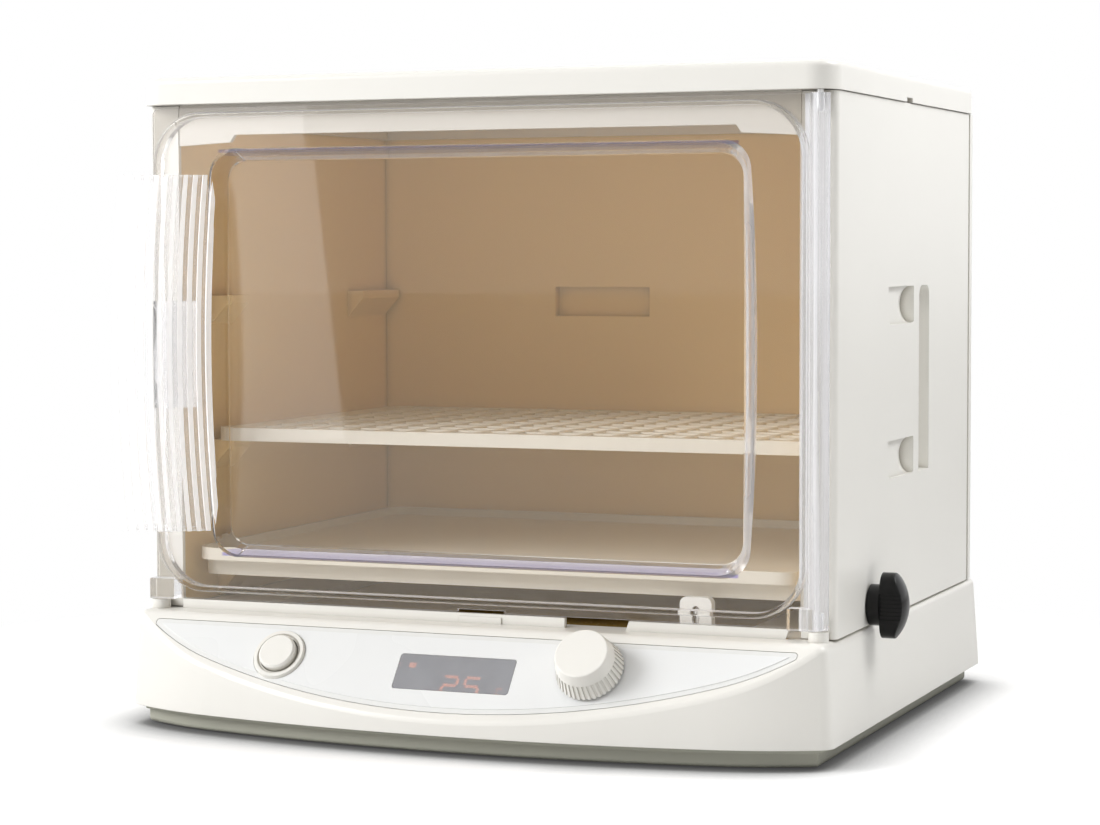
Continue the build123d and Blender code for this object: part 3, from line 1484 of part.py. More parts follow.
window_hollow = window_body(0, door_face, pane_front)
window_walls = window_body(door_wall, door_face, pane_front - door_wall)
barrel_low = seam + door_bottom + barrel_lift
barrel_top = seam + door_top
with BuildPart() as door_panel:
    # flange, and the raised frame, hollow from the back
    with BuildSketch(door_plane(door_back)):
        with Locations(((hinge_x - door_left) / 2, (door_bottom + door_top) / 2)):
            RectangleRounded(hinge_x + door_left, door_top - door_bottom, flange_corner)
    extrude(amount=door_wall)
    with BuildSketch(door_plane(door_back)):
        add(ridge_face(0))
    extrude(amount=door_face - door_back)
    fillet(door_panel.faces().sort_by(Axis.Y)[0].edges(), ridge_round)
    with BuildSketch(door_plane(door_back)):
        add(ridge_face(door_wall))
    extrude(amount=door_face - door_back - door_wall, mode=Mode.SUBTRACT)
    # window: walls that taper in to the pane
    add(window_walls)
    add(window_hollow, mode=Mode.SUBTRACT)
    # solid blocks in the lower corners, and a notch over the pad on the lip
    with BuildSketch(door_plane(door_back)):
        for corner_x, side in ((-door_left, 1), (hinge_x, -1)):
            with Locations((corner_x + side * foot_block_width / 2, door_bottom + foot_block_rise / 2)):
                Rectangle(foot_block_width, foot_block_rise)
    extrude(amount=door_face - door_back)
    with BuildSketch(door_plane(door_back)):
        with Locations((notch_x, door_bottom)):
            Rectangle(notch_width, 2 * notch_rise)
    extrude(amount=door_wall, mode=Mode.SUBTRACT)
    # barrel along the hinge line, bored at both ends for the pins
    with BuildSketch(Plane(origin=(hinge_x, front - hinge_reach, barrel_low))):
        Circle(barrel_radius)
    extrude(amount=barrel_top - barrel_low)
    for height in (seam + door_bottom, barrel_top - pin_reach):
        with BuildSketch(Plane(origin=(hinge_x, front - hinge_reach, height))):
            Circle(pin_radius + run_fit)
        extrude(amount=pin_reach, mode=Mode.SUBTRACT)
    # holes for the studs of the handle's block
    with BuildSketch(door_plane(door_face)):
        with Locations(*stud_places):
            Circle(stud_radius + run_fit)
    extrude(amount=-door_wall, mode=Mode.SUBTRACT)
save(door_panel, "door_panel")

with BuildPart() as lower_hinge_pin:
    with BuildSketch(Plane(origin=(hinge_x, front - hinge_reach, deck_under))):
        Circle(pin_radius)
    extrude(amount=skin + door_bottom + pin_reach - pin_end_gap)
save(lower_hinge_pin, "lower_hinge_pin")

with BuildPart() as upper_hinge_pin:
    with BuildSketch(Plane(origin=(hinge_x, front - hinge_reach, barrel_top + upper_pin_proud))):
        Circle(pin_radius)
    extrude(amount=-upper_pin_proud - pin_reach + pin_end_gap)
save(upper_hinge_pin, "upper_hinge_pin")

# ---------------------------------------------------------------- door handle
grip_middle = (grip_low + grip_high) / 2
grip_points = [
    (inset - half, -reach)
    for inset, reach in (grip_section_start, grip_section_mid, grip_section_end)
]
grip_start, grip_mid, grip_end = grip_points
bow_axis = Axis((0, front + grip_mid[1] + grip_sweep, seam + grip_middle), (1, 0, 0))
bow_angle = degrees(atan((grip_high - grip_low) / 2 / grip_sweep)) + grip_spare
grip_plane = Plane(origin=(0, front, seam + grip_middle))


def bowed(section):
    """A section in plan at the grip's middle, swept up and down along the grip's bow."""
    with BuildPart() as body:
        for side in (-1, 1):
            with BuildSketch(grip_plane):
                add(section)
            revolve(axis=bow_axis, revolution_arc=side * bow_angle)
    return body.part


def grip_room(low, high):
    """The room ahead of the door between two heights above the seam."""
    with BuildPart() as room:
        with BuildSketch(xz_plane(front - door_face - block_gap)):
            with Locations((grip_mid[0], seam + (low + high) / 2)):
                Rectangle(3 * block_front, high - low)
        extrude(amount=2 * block_front)
    return room.part


with BuildSketch() as grip_section:
    with BuildLine() as grip_line:
        ThreePointArc(grip_start, grip_mid, grip_end)
    trace(line_width=grip_wall)
    for number in range(grip_ribs):
        spot = grip_line.line @ ((number + 0.5) / grip_ribs)
        along = grip_line.line % ((number + 0.5) / grip_ribs)
        with Locations((spot.X - along.Y * rib_depth / 2, spot.Y + along.X * rib_depth / 2)):
            Rectangle(rib_width, grip_wall + rib_depth, rotation=degrees(atan2(along.Y, along.X)))

with BuildSketch() as grip_end_section:
    with BuildLine():
        ThreePointArc(grip_start, grip_mid, grip_end)
        feet = [(inset - half, -door_face) for inset in grip_foot_insets]
        Polyline(grip_end, *feet, grip_start)
    make_face()

block_face = front - door_face - block_gap
web_x = -block_left - block_web
with BuildPart() as grip_plates:
    add(bowed(grip_end_section.sketch))
    add(grip_room(grip_low, grip_high), mode=Mode.INTERSECT)
    add(grip_room(grip_low + grip_plate, grip_high - grip_plate), mode=Mode.SUBTRACT)

with BuildPart() as door_handle:
    add(bowed(grip_section.sketch))
    add(grip_room(grip_low, grip_high), mode=Mode.INTERSECT)
    add(grip_plates.part)
    # upright web that is screwed to the block
    with BuildSketch(yz_plane(web_x)):
        web_depth = block_web_front - door_face
        with Locations((block_face - web_depth / 2, seam + (block_low + block_high) / 2)):
            Rectangle(web_depth, block_high - block_low)
    extrude(amount=block_web)
    with BuildSketch(yz_plane(web_x)):
        with Locations(*handle_screw_places):
            Circle(screw_shank + screw_gap)
    extrude(amount=block_web, mode=Mode.SUBTRACT)
save(door_handle, "door_handle")

with BuildPart() as handle_block:
    with BuildSketch(Plane(origin=(0, front, seam + block_low))):
        with BuildLine():
            Polyline(
                (-block_left, -door_face - block_gap),
                (-block_left, -block_front),
                (-block_right - block_chamfer, -block_front),
                (-block_right, -block_front + block_chamfer),
                (-block_right, -door_face - block_gap),
                close=True,
            )
        make_face()
    extrude(amount=block_high - block_low)
    # studs that hold it in the door's face
    with BuildSketch(door_plane(door_face + block_gap)):
        with Locations(*stud_places):
            Circle(stud_radius)
    extrude(amount=-door_wall - block_gap)
    with BuildSketch(yz_plane(-block_left)):
        with Locations(*handle_screw_places):
            Circle(pilot_radius)
    extrude(amount=screw_reach, mode=Mode.SUBTRACT)
save(handle_block, "handle_block")

handle_screws = screws(
    [Plane(origin=(web_x, y, z), z_dir=(-1, 0, 0)) for y, z in handle_screw_places],
    handle_screw_head,
    screw_shank,
    block_web + screw_reach - screw_tip_gap,
)
save(handle_screws, "handle_screws")

# ---------------------------------------------------------------- shelves and tray
shelf_width = 2 * (chamber_half - shelf_side_gap)
chamber_depth = wall_depth + back_behind - back_thick
shelf_end = front + chamber_depth - shelf_back_gap
tray_length = chamber_depth - tray_front - shelf_back_gap
shelf_hole = shelf_pitch - shelf_bar
shelf_columns = int((shelf_width - 2 * shelf_side_margin + shelf_bar) / shelf_pitch)
slot_length = (shelf_width - 2 * shelf_side_margin - slot_bar) / 2
slot_pitch = slot_length + slot_bar


def shelf(level, setback, thick, pitch_x, columns, length):
    """A shelf with a rim and a thinner web, pierced by rows of holes."""
    depth = shelf_end - front - setback
    rows = int((depth - 2 * shelf_end_margin + shelf_bar) / shelf_pitch)
    place = Plane(origin=(0, shelf_end - depth / 2, seam + level))
    with BuildPart() as body:
        with BuildSketch(place):
            RectangleRounded(shelf_width, depth, shelf_corner)
        extrude(amount=thick)
        with BuildSketch(place):
            RectangleRounded(
                shelf_width - 2 * shelf_rim,
                depth - 2 * shelf_rim,
                shelf_corner - shelf_rim,
            )
        extrude(amount=thick - shelf_web, mode=Mode.SUBTRACT)
        with BuildSketch(place):
            with GridLocations(pitch_x, shelf_pitch, columns, rows):
                Rectangle(length, shelf_hole)
        extrude(amount=thick, mode=Mode.SUBTRACT)
    return body


upper_shelf = shelf(shelf_level, shelf_front, shelf_thick, shelf_pitch, shelf_columns, shelf_hole)
save(upper_shelf, "upper_shelf")

lower_shelf = shelf(low_level, low_shelf_front, low_shelf_thick, slot_pitch, 2, slot_length)
save(lower_shelf, "lower_shelf")

tray_low = seam + low_level + low_shelf_thick + tray_gap
tray_plane = Plane(origin=(0, front + tray_front + tray_length / 2, tray_low))
with BuildPart() as dough_tray:
    with BuildSketch(tray_plane):
        RectangleRounded(shelf_width, tray_length, tray_corner)
    extrude(amount=tray_rise)
    with BuildSketch(tray_plane.offset(tray_wall)):
        RectangleRounded(shelf_width - 2 * tray_wall, tray_length - 2 * tray_wall, tray_corner - tray_wall)
    extrude(amount=tray_rise, mode=Mode.SUBTRACT)
save(dough_tray, "dough_tray")
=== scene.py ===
import math

import bpy
from mathutils import Matrix, Vector

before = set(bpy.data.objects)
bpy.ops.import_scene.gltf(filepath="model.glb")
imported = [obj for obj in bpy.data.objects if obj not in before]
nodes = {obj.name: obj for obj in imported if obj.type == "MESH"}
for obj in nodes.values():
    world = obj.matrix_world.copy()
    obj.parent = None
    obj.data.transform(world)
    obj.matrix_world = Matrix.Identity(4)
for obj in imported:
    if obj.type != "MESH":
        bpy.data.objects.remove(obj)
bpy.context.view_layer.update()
MM = 0.001

# The part's own places, in metres.
SEAM = 0.0546                  # top of the base
BARREL = 0.156                 # inner side of the door's hinge barrel
WINDOW_LOW = SEAM + 0.0275     # foot and head of the door's window
WINDOW_HIGH = SEAM + 0.217
WINDOW_HALF = 0.128


# ---------------------------------------------------------------- materials
class Tree:
    """A material's node tree with short calls for its nodes and links."""

    def __init__(self, name):
        self.material = bpy.data.materials.new(name)
        self.material.use_nodes = True
        self.nodes = self.material.node_tree.nodes
        self.links = self.material.node_tree.links
        self.nodes.clear()
        self.out = self.nodes.new("ShaderNodeOutputMaterial")

    def add(self, kind, **values):
        node = self.nodes.new(kind)
        for key, value in values.items():
            if hasattr(node, key):
                setattr(node, key, value)
            else:
                node.inputs[key.replace("_", " ")].default_value = value
        return node

    def link(self, source, socket, node, name):
        self.links.new(source.outputs[socket], node.inputs[name])

    def coords(self):
        return self.add("ShaderNodeTexCoord")

    def noise(self, scale, detail=3.0, rough=0.55, stretch=(1, 1, 1)):
        coords = self.coords()
        mapping = self.add("ShaderNodeMapping")
        mapping.inputs["Scale"].default_value = stretch
        self.link(coords, "Object", mapping, "Vector")
        noise = self.add("ShaderNodeTexNoise")
        noise.inputs["Scale"].default_value = scale
        noise.inputs["Detail"].default_value = detail
        noise.inputs["Roughness"].default_value = rough
        self.link(mapping, "Vector", noise, "Vector")
        return noise

    def ramp(self, source, socket, stops):
        ramp = self.add("ShaderNodeValToRGB")
        elements = ramp.color_ramp.elements
        while len(elements) < len(stops):
            elements.new(0.5)
        for element, (place, color) in zip(elements, stops):
            element.position = place
            element.color = (*color, 1.0) if len(color) == 3 else color
        self.link(source, socket, ramp, "Fac")
        return ramp

    def span(self, source, socket, low, high, from_low=0.0, from_high=1.0):
        node = self.add("ShaderNodeMapRange")
        node.inputs["From Min"].default_value = from_low
        node.inputs["From Max"].default_value = from_high
        node.inputs["To Min"].default_value = low
        node.inputs["To Max"].default_value = high
        self.link(source, socket, node, "Value")
        return node

    def math(self, operation, *values):
        """A Math node; each value is a number or an output socket."""
        node = self.add("ShaderNodeMath", operation=operation)
        for socket, value in zip(node.inputs, values):
            if isinstance(value, (int, float)):
                socket.default_value = value
            else:
                self.links.new(value, socket)
        return node.outputs["Value"]

    def bands(self, heights, half, inside, outside):
        """Colour of narrow level bands at two heights, as wide as the window."""
        place = self.add("ShaderNodeSeparateXYZ")
        self.link(self.coords(), "Object", place, "Vector")
        foot, head = (self.math("COMPARE", place.outputs["Z"], height, 0.0008) for height in heights)
        across = self.math("COMPARE", place.outputs["X"], 0.0, half)
        amount = self.math("MULTIPLY", self.math("MAXIMUM", foot, head), across)
        mix = self.add("ShaderNodeMix", data_type="RGBA")
        self.links.new(amount, mix.inputs["Factor"])
        mix.inputs[6].default_value = (*outside, 1)
        mix.inputs[7].default_value = (*inside, 1)
        return mix.outputs[2]

    def streaks(self, start):
        """Right of a place in x, the amount of upright milky streaks, and the mask of that side."""
        place = self.add("ShaderNodeSeparateXYZ")
        self.link(self.coords(), "Object", place, "Vector")
        beyond = self.math("GREATER_THAN", place.outputs["X"], start)
        lines = self.noise(500.0, 1.0, stretch=(1, 1, 0.01))
        amount = self.span(lines, "Fac", 0.04, 0.6, 0.35, 0.62)
        return self.math("MULTIPLY", amount.outputs["Result"], beyond), beyond

    def bump(self, source, socket, strength, distance, bevel=0.0):
        node = self.add("ShaderNodeBump")
        node.inputs["Strength"].default_value = strength
        node.inputs["Distance"].default_value = distance
        self.link(source, socket, node, "Height")
        if bevel:
            edge = self.add("ShaderNodeBevel", samples=4)
            edge.inputs["Radius"].default_value = bevel
            self.link(edge, "Normal", node, "Normal")
        return node


def shade(color, factor):
    return tuple(min(1.0, c * factor) for c in color)


def plastic(name, color, rough=0.35, grain=1400.0, relief=0.05, bevel=0.0004, shine=0.5, crease_shade_reach=0.0):
    """Moulded plastic: slight cloudiness, fine grain, uneven gloss, softened edges and, when asked, painted shade
    that darkens its creases, recesses and the gaps between parts.
    """
    tree = Tree(name)
    cloud = tree.noise(9.0, 2.0)
    tint = tree.ramp(cloud, "Fac", [(0.2, shade(color, 0.985)), (0.8, shade(color, 1.015))])
    bsdf = tree.add("ShaderNodeBsdfPrincipled")
    bsdf.inputs["Specular IOR Level"].default_value = shine
    # Painted shade: the colour is darkened where ambient occlusion finds surfaces close by, in creases, recesses and
    # the gaps between parts.
    if crease_shade_reach:
        open_sky = tree.add("ShaderNodeAmbientOcclusion", samples=6)
        open_sky.inputs["Distance"].default_value = crease_shade_reach
        painted_crease_shade = tree.ramp(open_sky, "AO", [(0.1, (0.56, 0.54, 0.50)), (0.8, (1, 1, 1))])
        mix = tree.add("ShaderNodeMix", data_type="RGBA", blend_type="MULTIPLY")
        mix.inputs["Factor"].default_value = 1.0
        tree.links.new(tint.outputs["Color"], mix.inputs[6])
        tree.links.new(painted_crease_shade.outputs["Color"], mix.inputs[7])
        tree.links.new(mix.outputs[2], bsdf.inputs["Base Color"])
    else:
        tree.link(tint, "Color", bsdf, "Base Color")
    gloss = tree.span(cloud, "Fac", rough - 0.03, rough + 0.03, 0.2, 0.8)
    tree.link(gloss, "Result", bsdf, "Roughness")
    fine = tree.noise(grain, 2.0)
    bump = tree.bump(fine, "Fac", relief, 0.0002, bevel)
    tree.link(bump, "Normal", bsdf, "Normal")
    tree.link(bsdf, "BSDF", tree.out, "Surface")
    return tree.material


def metal(name, color, rough=0.3, stretch=(1, 1, 40), bevel=0.0003):
    """Bare metal with fine drawn lines and uneven polish."""
    tree = Tree(name)
    lines = tree.noise(300.0, 3.0, stretch=stretch)
    tint = tree.ramp(lines, "Fac", [(0.35, shade(color, 0.85)), (0.65, shade(color, 1.08))])
    bsdf = tree.add("ShaderNodeBsdfPrincipled")
    bsdf.inputs["Metallic"].default_value = 1.0
    tree.link(tint, "Color", bsdf, "Base Color")
    gloss = tree.span(lines, "Fac", rough - 0.08, rough + 0.1)
    tree.link(gloss, "Result", bsdf, "Roughness")
    bump = tree.bump(lines, "Fac", 0.08, 0.0001, bevel)
    tree.link(bump, "Normal", bsdf, "Normal")
    tree.link(bsdf, "BSDF", tree.out, "Surface")
    return tree.material


def clear(name, tint=(0.985, 0.985, 0.99), rough=0.02, haze=0.18, edge=(0.90, 0.90, 0.93), violet=()):
    """Clear moulded plastic: see-through, glossy, milky where it is seen edge-on, with a tan face-on haze painted in
    for the chamber's warm light seen through it, and violet bands painted along some edges for the colour fringe of
    light bent there.
    """
    tree = Tree(name)
    wave = tree.noise(14.0, 2.0)
    glass = tree.add("ShaderNodeBsdfPrincipled")
    glass.inputs["Base Color"].default_value = (*tint, 1)
    polish = tree.span(wave, "Fac", rough * 0.5, rough * 1.5, 0.2, 0.8)
    tree.link(polish, "Result", glass, "Roughness")
    glass.inputs["IOR"].default_value = 1.49
    glass.inputs["Specular IOR Level"].default_value = 0.22
    glass.inputs["Transmission Weight"].default_value = 1.0
    # Painted colour fringe: violet bands at the window's foot and head stand for light bent at those edges.
    if violet:
        color = tree.bands(violet, WINDOW_HALF, (0.48, 0.46, 0.94), tint)
        tree.links.new(color, glass.inputs["Base Color"])
    through = tree.add("ShaderNodeBsdfTransparent")
    through.inputs["Color"].default_value = (*tint, 1)
    facing = tree.add("ShaderNodeLayerWeight")
    facing.inputs["Blend"].default_value = 0.3
    milk = tree.add("ShaderNodeBsdfDiffuse")
    turn = facing.outputs["Facing"]
    if violet:
        streak, barrel = tree.streaks(BARREL)
        turn = tree.math("MAXIMUM", turn, barrel)
    # Painted light: where the door faces the camera its faint haze is tan, standing for the chamber's warm light seen
    # through the pane; edge-on and on the barrel it is white.
    painted_warm_haze = tree.ramp(turn.node, turn.name, [(0.07, (0.86, 0.66, 0.42)), (0.16, edge)])
    tree.link(painted_warm_haze, "Color", milk, "Color")
    amount = tree.span(facing, "Facing", haze * 0.27, haze * 4, 0.3, 1.0)
    amount = amount.outputs["Result"]
    if violet:
        amount = tree.math("MAXIMUM", amount, streak)
    milky = tree.add("ShaderNodeMixShader")
    tree.links.new(amount, milky.inputs["Fac"])
    tree.links.new(glass.outputs["BSDF"], milky.inputs[1])
    tree.links.new(milk.outputs["BSDF"], milky.inputs[2])
    path = tree.add("ShaderNodeLightPath")
    either = tree.add("ShaderNodeMath", operation="MAXIMUM")
    tree.links.new(path.outputs["Is Shadow Ray"], either.inputs[0])
    tree.links.new(path.outputs["Is Diffuse Ray"], either.inputs[1])
    mix = tree.add("ShaderNodeMixShader")
    tree.link(either, "Value", mix, "Fac")
    tree.links.new(milky.outputs["Shader"], mix.inputs[1])
    tree.links.new(through.outputs["BSDF"], mix.inputs[2])
    tree.link(mix, "Shader", tree.out, "Surface")
    return tree.material


def milky(name, low, high, milk=(0.96, 0.96, 0.965)):
    """Clear plastic, see-through in its valleys: what stands out is painted white for the light its crests catch, and
    it turns milky where it turns away.
    """
    tree = Tree(name)
    through = tree.add("ShaderNodeBsdfTransparent")
    through.inputs["Color"].default_value = (0.985, 0.985, 0.99, 1)
    wave = tree.noise(14.0, 2.0)
    tint = tree.ramp(wave, "Fac", [(0.2, shade(milk, 0.98)), (0.8, shade(milk, 1.02))])
    front = tree.add("ShaderNodeBsdfDiffuse")
    tree.link(tint, "Color", front, "Color")
    behind = tree.add("ShaderNodeBsdfTranslucent")
    behind.inputs["Color"].default_value = (0.5, 0.5, 0.5, 1)
    glow = tree.add("ShaderNodeAddShader")
    tree.links.new(front.outputs["BSDF"], glow.inputs[0])
    tree.links.new(behind.outputs["BSDF"], glow.inputs[1])
    facing = tree.add("ShaderNodeLayerWeight")
    facing.inputs["Blend"].default_value = 0.5
    turned = tree.span(facing, "Facing", low, high, 0.2, 0.6)
    # Painted light: crests open to the sky turn white, standing for the light they catch; hollows stay clear.
    open_sky = tree.add("ShaderNodeAmbientOcclusion", samples=8)
    open_sky.inputs["Distance"].default_value = 0.003
    painted_crest_light = tree.span(open_sky, "AO", low, high, 0.55, 0.85)
    amount = tree.math("MAXIMUM", turned.outputs["Result"], painted_crest_light.outputs["Result"])
    cloudy = tree.add("ShaderNodeMixShader")
    tree.links.new(amount, cloudy.inputs["Fac"])
    tree.links.new(through.outputs["BSDF"], cloudy.inputs[1])
    tree.links.new(glow.outputs["Shader"], cloudy.inputs[2])
    gloss = tree.add("ShaderNodeBsdfGlossy")
    polish = tree.span(wave, "Fac", 0.04, 0.10, 0.2, 0.8)
    tree.link(polish, "Result", gloss, "Roughness")
    edge = tree.add("ShaderNodeFresnel")
    edge.inputs["IOR"].default_value = 1.35
    shiny = tree.add("ShaderNodeMixShader")
    tree.link(edge, "Fac", shiny, "Fac")
    tree.links.new(cloudy.outputs["Shader"], shiny.inputs[1])
    tree.links.new(gloss.outputs["BSDF"], shiny.inputs[2])
    path = tree.add("ShaderNodeLightPath")
    hidden = tree.math("MAXIMUM", path.outputs["Is Shadow Ray"], path.outputs["Is Diffuse Ray"])
    mix = tree.add("ShaderNodeMixShader")
    tree.links.new(hidden, mix.inputs["Fac"])
    tree.links.new(shiny.outputs["Shader"], mix.inputs[1])
    tree.links.new(through.outputs["BSDF"], mix.inputs[2])
    tree.link(mix, "Shader", tree.out, "Surface")
    return tree.material


def smoked(name):
    """Grey display window: lets some of the light through, with a clean gloss on top."""
    tree = Tree(name)
    through = tree.add("ShaderNodeBsdfTransparent")
    through.inputs["Color"].default_value = (0.85, 0.85, 0.87, 1)
    gloss = tree.add("ShaderNodeBsdfPrincipled")
    gloss.inputs["Roughness"].default_value = 0.12
    cloud = tree.noise(60.0, 2.0)
    grey = (0.42, 0.425, 0.45)
    tint = tree.ramp(cloud, "Fac", [(0.3, shade(grey, 0.94)), (0.7, shade(grey, 1.06))])
    tree.link(tint, "Color", gloss, "Base Color")
    mix = tree.add("ShaderNodeMixShader")
    mix.inputs["Fac"].default_value = 0.68
    tree.links.new(through.outputs["BSDF"], mix.inputs[1])
    tree.links.new(gloss.outputs["BSDF"], mix.inputs[2])
    tree.link(mix, "Shader", tree.out, "Surface")
    return tree.material


def lit(name, color, strength):
    """Lit display segment, its glow varying a little at random."""
    tree = Tree(name)
    cloud = tree.noise(420.0, 2.0)
    glow = tree.ramp(cloud, "Fac", [(0.2, shade(color, 0.8)), (0.8, shade(color, 1.15))])
    bsdf = tree.add("ShaderNodeBsdfPrincipled")
    bsdf.inputs["Roughness"].default_value = 0.5
    bsdf.inputs["Emission Strength"].default_value = strength
    tree.link(glow, "Color", bsdf, "Base Color")
    tree.link(glow, "Color", bsdf, "Emission Color")
    tree.link(bsdf, "BSDF", tree.out, "Surface")
    return tree.material


def speckled(name, base, dots):
    """Dark coating with pale and dark specks, as on an enamelled or sprayed plate."""
    tree = Tree(name)
    coords = tree.coords()
    cells = tree.add("ShaderNodeTexVoronoi")
    cells.inputs["Scale"].default_value = 420.0
    tree.link(coords, "Object", cells, "Vector")
    cloud = tree.noise(30.0, 5.0)
    ground = tree.ramp(cloud, "Fac", [(0.3, shade(base, 0.8)), (0.7, shade(base, 1.2))])
    specks = tree.ramp(cells, "Distance", [(0.16, (1, 1, 1)), (0.24, (0, 0, 0))])
    mix = tree.add("ShaderNodeMix", data_type="RGBA")
    tree.link(specks, "Color", mix, "Factor")
    tree.links.new(ground.outputs["Color"], mix.inputs[6])
    mix.inputs[7].default_value = (*dots, 1)
    bsdf = tree.add("ShaderNodeBsdfPrincipled")
    bsdf.inputs["Roughness"].default_value = 0.9
    bsdf.inputs["Specular IOR Level"].default_value = 0.0
    tree.links.new(mix.outputs[2], bsdf.inputs["Base Color"])
    bump = tree.bump(cells, "Distance", 0.15, 0.0003)
    tree.link(bump, "Normal", bsdf, "Normal")
    tree.link(bsdf, "BSDF", tree.out, "Surface")
    return tree.material


WHITE = (0.86, 0.845, 0.80)
LOOKS = {
    # white: painted shade darkens its recesses, grooves and the gaps between parts.
    "white": plastic("white_plastic", WHITE, 0.30, relief=0.02, crease_shade_reach=0.004),
    "block": milky("block_plastic", 0.85, 0.97),
    # Painted shade: the lid frame is the same white plastic as the body, given a darker colour for the shade it sits
    # in under the lid; its creases are darkened by painted shade too.
    "header_painted_shade": plastic("header_painted_shade_plastic", (0.72, 0.69, 0.635), 0.32, relief=0.02, crease_shade_reach=0.004),
    # Painted light and shade: the liner is off-white plastic; its tan colour stands for the warm light filtered into
    # the chamber, and painted shade darkens its corners and recesses.
    "liner": plastic("liner_plastic", (0.89, 0.65, 0.31), 0.48, relief=0.01, shine=0.3, crease_shade_reach=0.008),
    "olive": plastic("olive_plastic", (0.50, 0.50, 0.42), 0.5),
    "panel": plastic("panel_plastic", (0.80, 0.805, 0.79), 0.38),
    "film": plastic("panel_film", (0.84, 0.85, 0.85), 0.28, grain=3000.0, relief=0.03, bevel=0.0001),
    "black": plastic("black_plastic", (0.003, 0.003, 0.003), 0.22, shine=0.24),
    "dark": plastic("dark_plastic", (0.02, 0.022, 0.026), 0.45),
    "shelf": plastic("shelf_plastic", (0.77, 0.715, 0.61), 0.42, relief=0.02),
    "rubber": plastic("rubber", (0.05, 0.05, 0.047), 0.75, grain=900.0, relief=0.2),
    "board": plastic("board_green", (0.03, 0.14, 0.06), 0.4),
    "winding": metal("copper_winding", (0.55, 0.28, 0.12), 0.4),
    "steel": metal("plated_steel", (0.72, 0.72, 0.71), 0.28),
    "element": metal("element_tube", (0.22, 0.20, 0.18), 0.45),
    "pan": metal("pan_metal", (0.8, 0.8, 0.8), 0.3, stretch=(40, 1, 1)),
    "heater": speckled("heater_coating", (0.44, 0.30, 0.09), (0.66, 0.52, 0.26)),
    "clear": milky("clear_plastic", 0.04, 0.9),
    "door": clear("door_plastic", violet=(WINDOW_LOW, WINDOW_HIGH)),
    "smoked": smoked("smoked_window"),
    "lit": lit("lit_segment", (0.95, 0.22, 0.04), 4.0),
}
GROUPS = {
    "white": ["base_housing", "button_bezel", "power_button", "dial_knob", "right_wall_shell", "left_wall_shell",
              "back_wall_shell", "lid_cover", "sensor_cover"],
    "header_painted_shade": ["lid_frame"],
    "block": ["handle_block"],
    "panel": ["control_panel"],
    "liner": ["right_wall_liner", "left_wall_liner", "back_wall_liner", "lid_liner"],
    "olive": ["bottom_plate"],
    "film": ["panel_film"],
    "smoked": ["display_window"],
    "lit": ["display_digits"],
    "dark": ["display_module", "power_switch", "relay", "encoder_body", "capacitor"],
    "board": ["control_board", "power_board"],
    "steel": ["bottom_screws", "board_screws", "supply_screws", "lid_screws", "handle_screws", "folding_pins",
              "lower_hinge_pin", "upper_hinge_pin", "dial_shaft", "temperature_sensor", "element_clips"],
    "heater": ["heater_plate"],
    "element": ["heater_element"],
    "pan": ["reflector_pan"],
    "clear": ["door_handle"],
    "door": ["door_panel"],
    "black": ["right_lock_knob", "left_lock_knob", "right_lock_cam", "left_lock_cam", "cord_gland", "dial_bush",
              "encoder_plunger", "thermal_cutout"],
    "shelf": ["upper_shelf", "lower_shelf", "dough_tray"],
    "rubber": ["rubber_feet"],
    "winding": ["transformer"],
}
for look, members in GROUPS.items():
    for name in members:
        mesh = nodes[name].data
        mesh.materials.clear()
        mesh.materials.append(LOOKS[look])


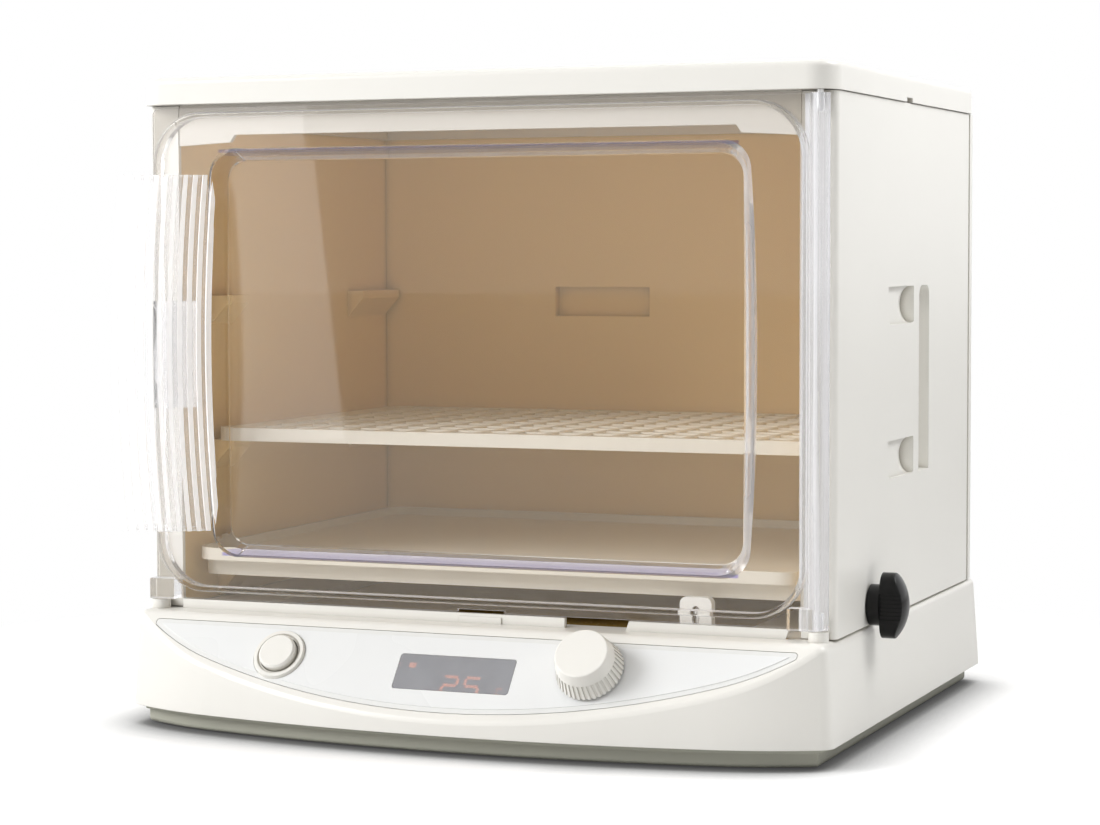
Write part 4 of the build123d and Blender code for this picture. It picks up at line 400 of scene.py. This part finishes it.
# ---------------------------------------------------------------- stage, light and camera
def stage_floor():
    """White floor with the object's soft shadow, partly cast by the lamps and partly painted as a contact shadow
    darkest against the object, which fades to plain white away from it.
    """
    mesh = bpy.data.meshes.new("floor")
    size = 12.0
    corners = [(-size, -size, 0), (size, -size, 0), (size, size, 0), (-size, size, 0)]
    mesh.from_pydata(corners, [], [(0, 1, 2, 3)])
    floor = bpy.data.objects.new("floor", mesh)
    bpy.context.scene.collection.objects.link(floor)
    tree = Tree("floor_white")
    bsdf = tree.add("ShaderNodeBsdfDiffuse")
    # Painted contact shadow: the floor's colour and its lift darken where ambient occlusion finds the object close
    # by.
    contact = tree.add("ShaderNodeAmbientOcclusion", samples=8)
    contact.inputs["Distance"].default_value = 0.04
    painted_contact_shadow = tree.ramp(contact, "AO", [(0.35, (0.12, 0.12, 0.12)), (0.97, (0.82, 0.82, 0.82))])
    tree.link(painted_contact_shadow, "Color", bsdf, "Color")
    lift = tree.add("ShaderNodeEmission")
    lift.inputs["Strength"].default_value = 0.48
    tree.link(painted_contact_shadow, "Color", lift, "Color")
    lifted = tree.add("ShaderNodeAddShader")
    tree.links.new(bsdf.outputs["BSDF"], lifted.inputs[0])
    tree.links.new(lift.outputs["Emission"], lifted.inputs[1])
    near_look = tree.add("ShaderNodeMixShader")
    white = tree.add("ShaderNodeEmission")
    white.inputs["Strength"].default_value = 1.0
    path = tree.add("ShaderNodeLightPath")
    seen = tree.add("ShaderNodeMath", operation="MAXIMUM")
    tree.links.new(path.outputs["Is Camera Ray"], seen.inputs[0])
    tree.links.new(path.outputs["Is Transmission Ray"], seen.inputs[1])
    reach = tree.add("ShaderNodeVectorMath", operation="LENGTH")
    tree.links.new(tree.coords().outputs["Object"], reach.inputs[0])
    fade = tree.span(reach, "Value", 0.0, 1.0, 0.25, 0.45)
    amount = tree.add("ShaderNodeMath", operation="MULTIPLY")
    tree.links.new(seen.outputs["Value"], amount.inputs[0])
    tree.links.new(fade.outputs["Result"], amount.inputs[1])
    tree.link(seen, "Value", near_look, "Fac")
    tree.links.new(bsdf.outputs["BSDF"], near_look.inputs[1])
    tree.links.new(lifted.outputs["Shader"], near_look.inputs[2])
    mix = tree.add("ShaderNodeMixShader")
    tree.link(amount, "Value", mix, "Fac")
    tree.links.new(near_look.outputs["Shader"], mix.inputs[1])
    tree.links.new(white.outputs["Emission"], mix.inputs[2])
    tree.link(mix, "Shader", tree.out, "Surface")
    mesh.materials.append(tree.material)


def world_white():
    """Soft even light, and plain white where the camera, glass or gloss sees the background."""
    world = bpy.data.worlds.new("studio")
    bpy.context.scene.world = world
    world.use_nodes = True
    tree = world.node_tree
    tree.nodes.clear()
    out = tree.nodes.new("ShaderNodeOutputWorld")
    light = tree.nodes.new("ShaderNodeBackground")
    light.inputs["Color"].default_value = (1.0, 0.99, 0.97, 1)
    coords = tree.nodes.new("ShaderNodeTexCoord")
    toward = tree.nodes.new("ShaderNodeVectorMath")
    toward.operation = "DOT_PRODUCT"
    toward.inputs[1].default_value = (-0.72, -0.25, 0.65)
    tree.links.new(coords.outputs["Generated"], toward.inputs[0])
    slope = tree.nodes.new("ShaderNodeMapRange")
    slope.inputs["From Min"].default_value = -1.0
    slope.inputs["To Min"].default_value = 0.16
    slope.inputs["To Max"].default_value = 0.58
    tree.links.new(toward.outputs["Value"], slope.inputs["Value"])
    tree.links.new(slope.outputs["Result"], light.inputs["Strength"])
    seen = tree.nodes.new("ShaderNodeBackground")
    seen.inputs["Color"].default_value = (1, 1, 1, 1)
    seen.inputs["Strength"].default_value = 1.0
    path = tree.nodes.new("ShaderNodeLightPath")
    mask = path.outputs["Is Camera Ray"]
    for kind in ("Is Transmission Ray", "Is Glossy Ray"):
        either = tree.nodes.new("ShaderNodeMath")
        either.operation = "MAXIMUM"
        tree.links.new(mask, either.inputs[0])
        tree.links.new(path.outputs[kind], either.inputs[1])
        mask = either.outputs["Value"]
    mix = tree.nodes.new("ShaderNodeMixShader")
    tree.links.new(mask, mix.inputs["Fac"])
    tree.links.new(light.outputs["Background"], mix.inputs[1])
    tree.links.new(seen.outputs["Background"], mix.inputs[2])
    tree.links.new(mix.outputs["Shader"], out.inputs["Surface"])


def area_light(name, place, target, size, power, roll=0.0):
    lamp = bpy.data.lights.new(name, "AREA")
    lamp.shape = "RECTANGLE"
    lamp.size, lamp.size_y = size
    lamp.energy = power
    obj = bpy.data.objects.new(name, lamp)
    bpy.context.scene.collection.objects.link(obj)
    obj.location = place
    aim = (Vector(target) - Vector(place)).to_track_quat("-Z", "Y").to_matrix()
    obj.rotation_euler = (aim @ Matrix.Rotation(math.radians(roll), 3, "Z")).to_euler()


def camera():
    data = bpy.data.cameras.new("camera")
    data.lens = 90.54
    data.sensor_width = 36.0
    data.clip_start = 0.05
    data.clip_end = 50.0
    obj = bpy.data.objects.new("camera", data)
    bpy.context.scene.collection.objects.link(obj)
    yaw, pitch, roll = math.radians(22.133), math.radians(3.369), math.radians(-0.149)
    turn = Matrix.Rotation(yaw, 4, "Z") @ Matrix.Rotation(math.pi / 2 - pitch, 4, "X") @ Matrix.Rotation(roll, 4, "Z")
    obj.matrix_world = Matrix.Translation((0.5059, -1.2621, 0.2252)) @ turn
    bpy.context.scene.camera = obj


stage_floor()
world_white()
area_light("key", (-1.6, -1.35, 1.15), (0, 0, 0.12), (1.2, 0.9), 36.0)
area_light("side", (0.62, 0.12, 0.78), (0.17, 0, 0.28), (0.4, 0.4), 4.2)
area_light("top", (0.0, 0.1, 1.8), (0, 0, 0.1), (1.4, 1.4), 1.8)
area_light("card", (-1.19, -1.75, 0.25), (-0.1, -0.1, 0.2), (0.5, 0.8), 1.6, roll=6.0)
camera()
bpy.context.scene.view_settings.view_transform = "Standard"
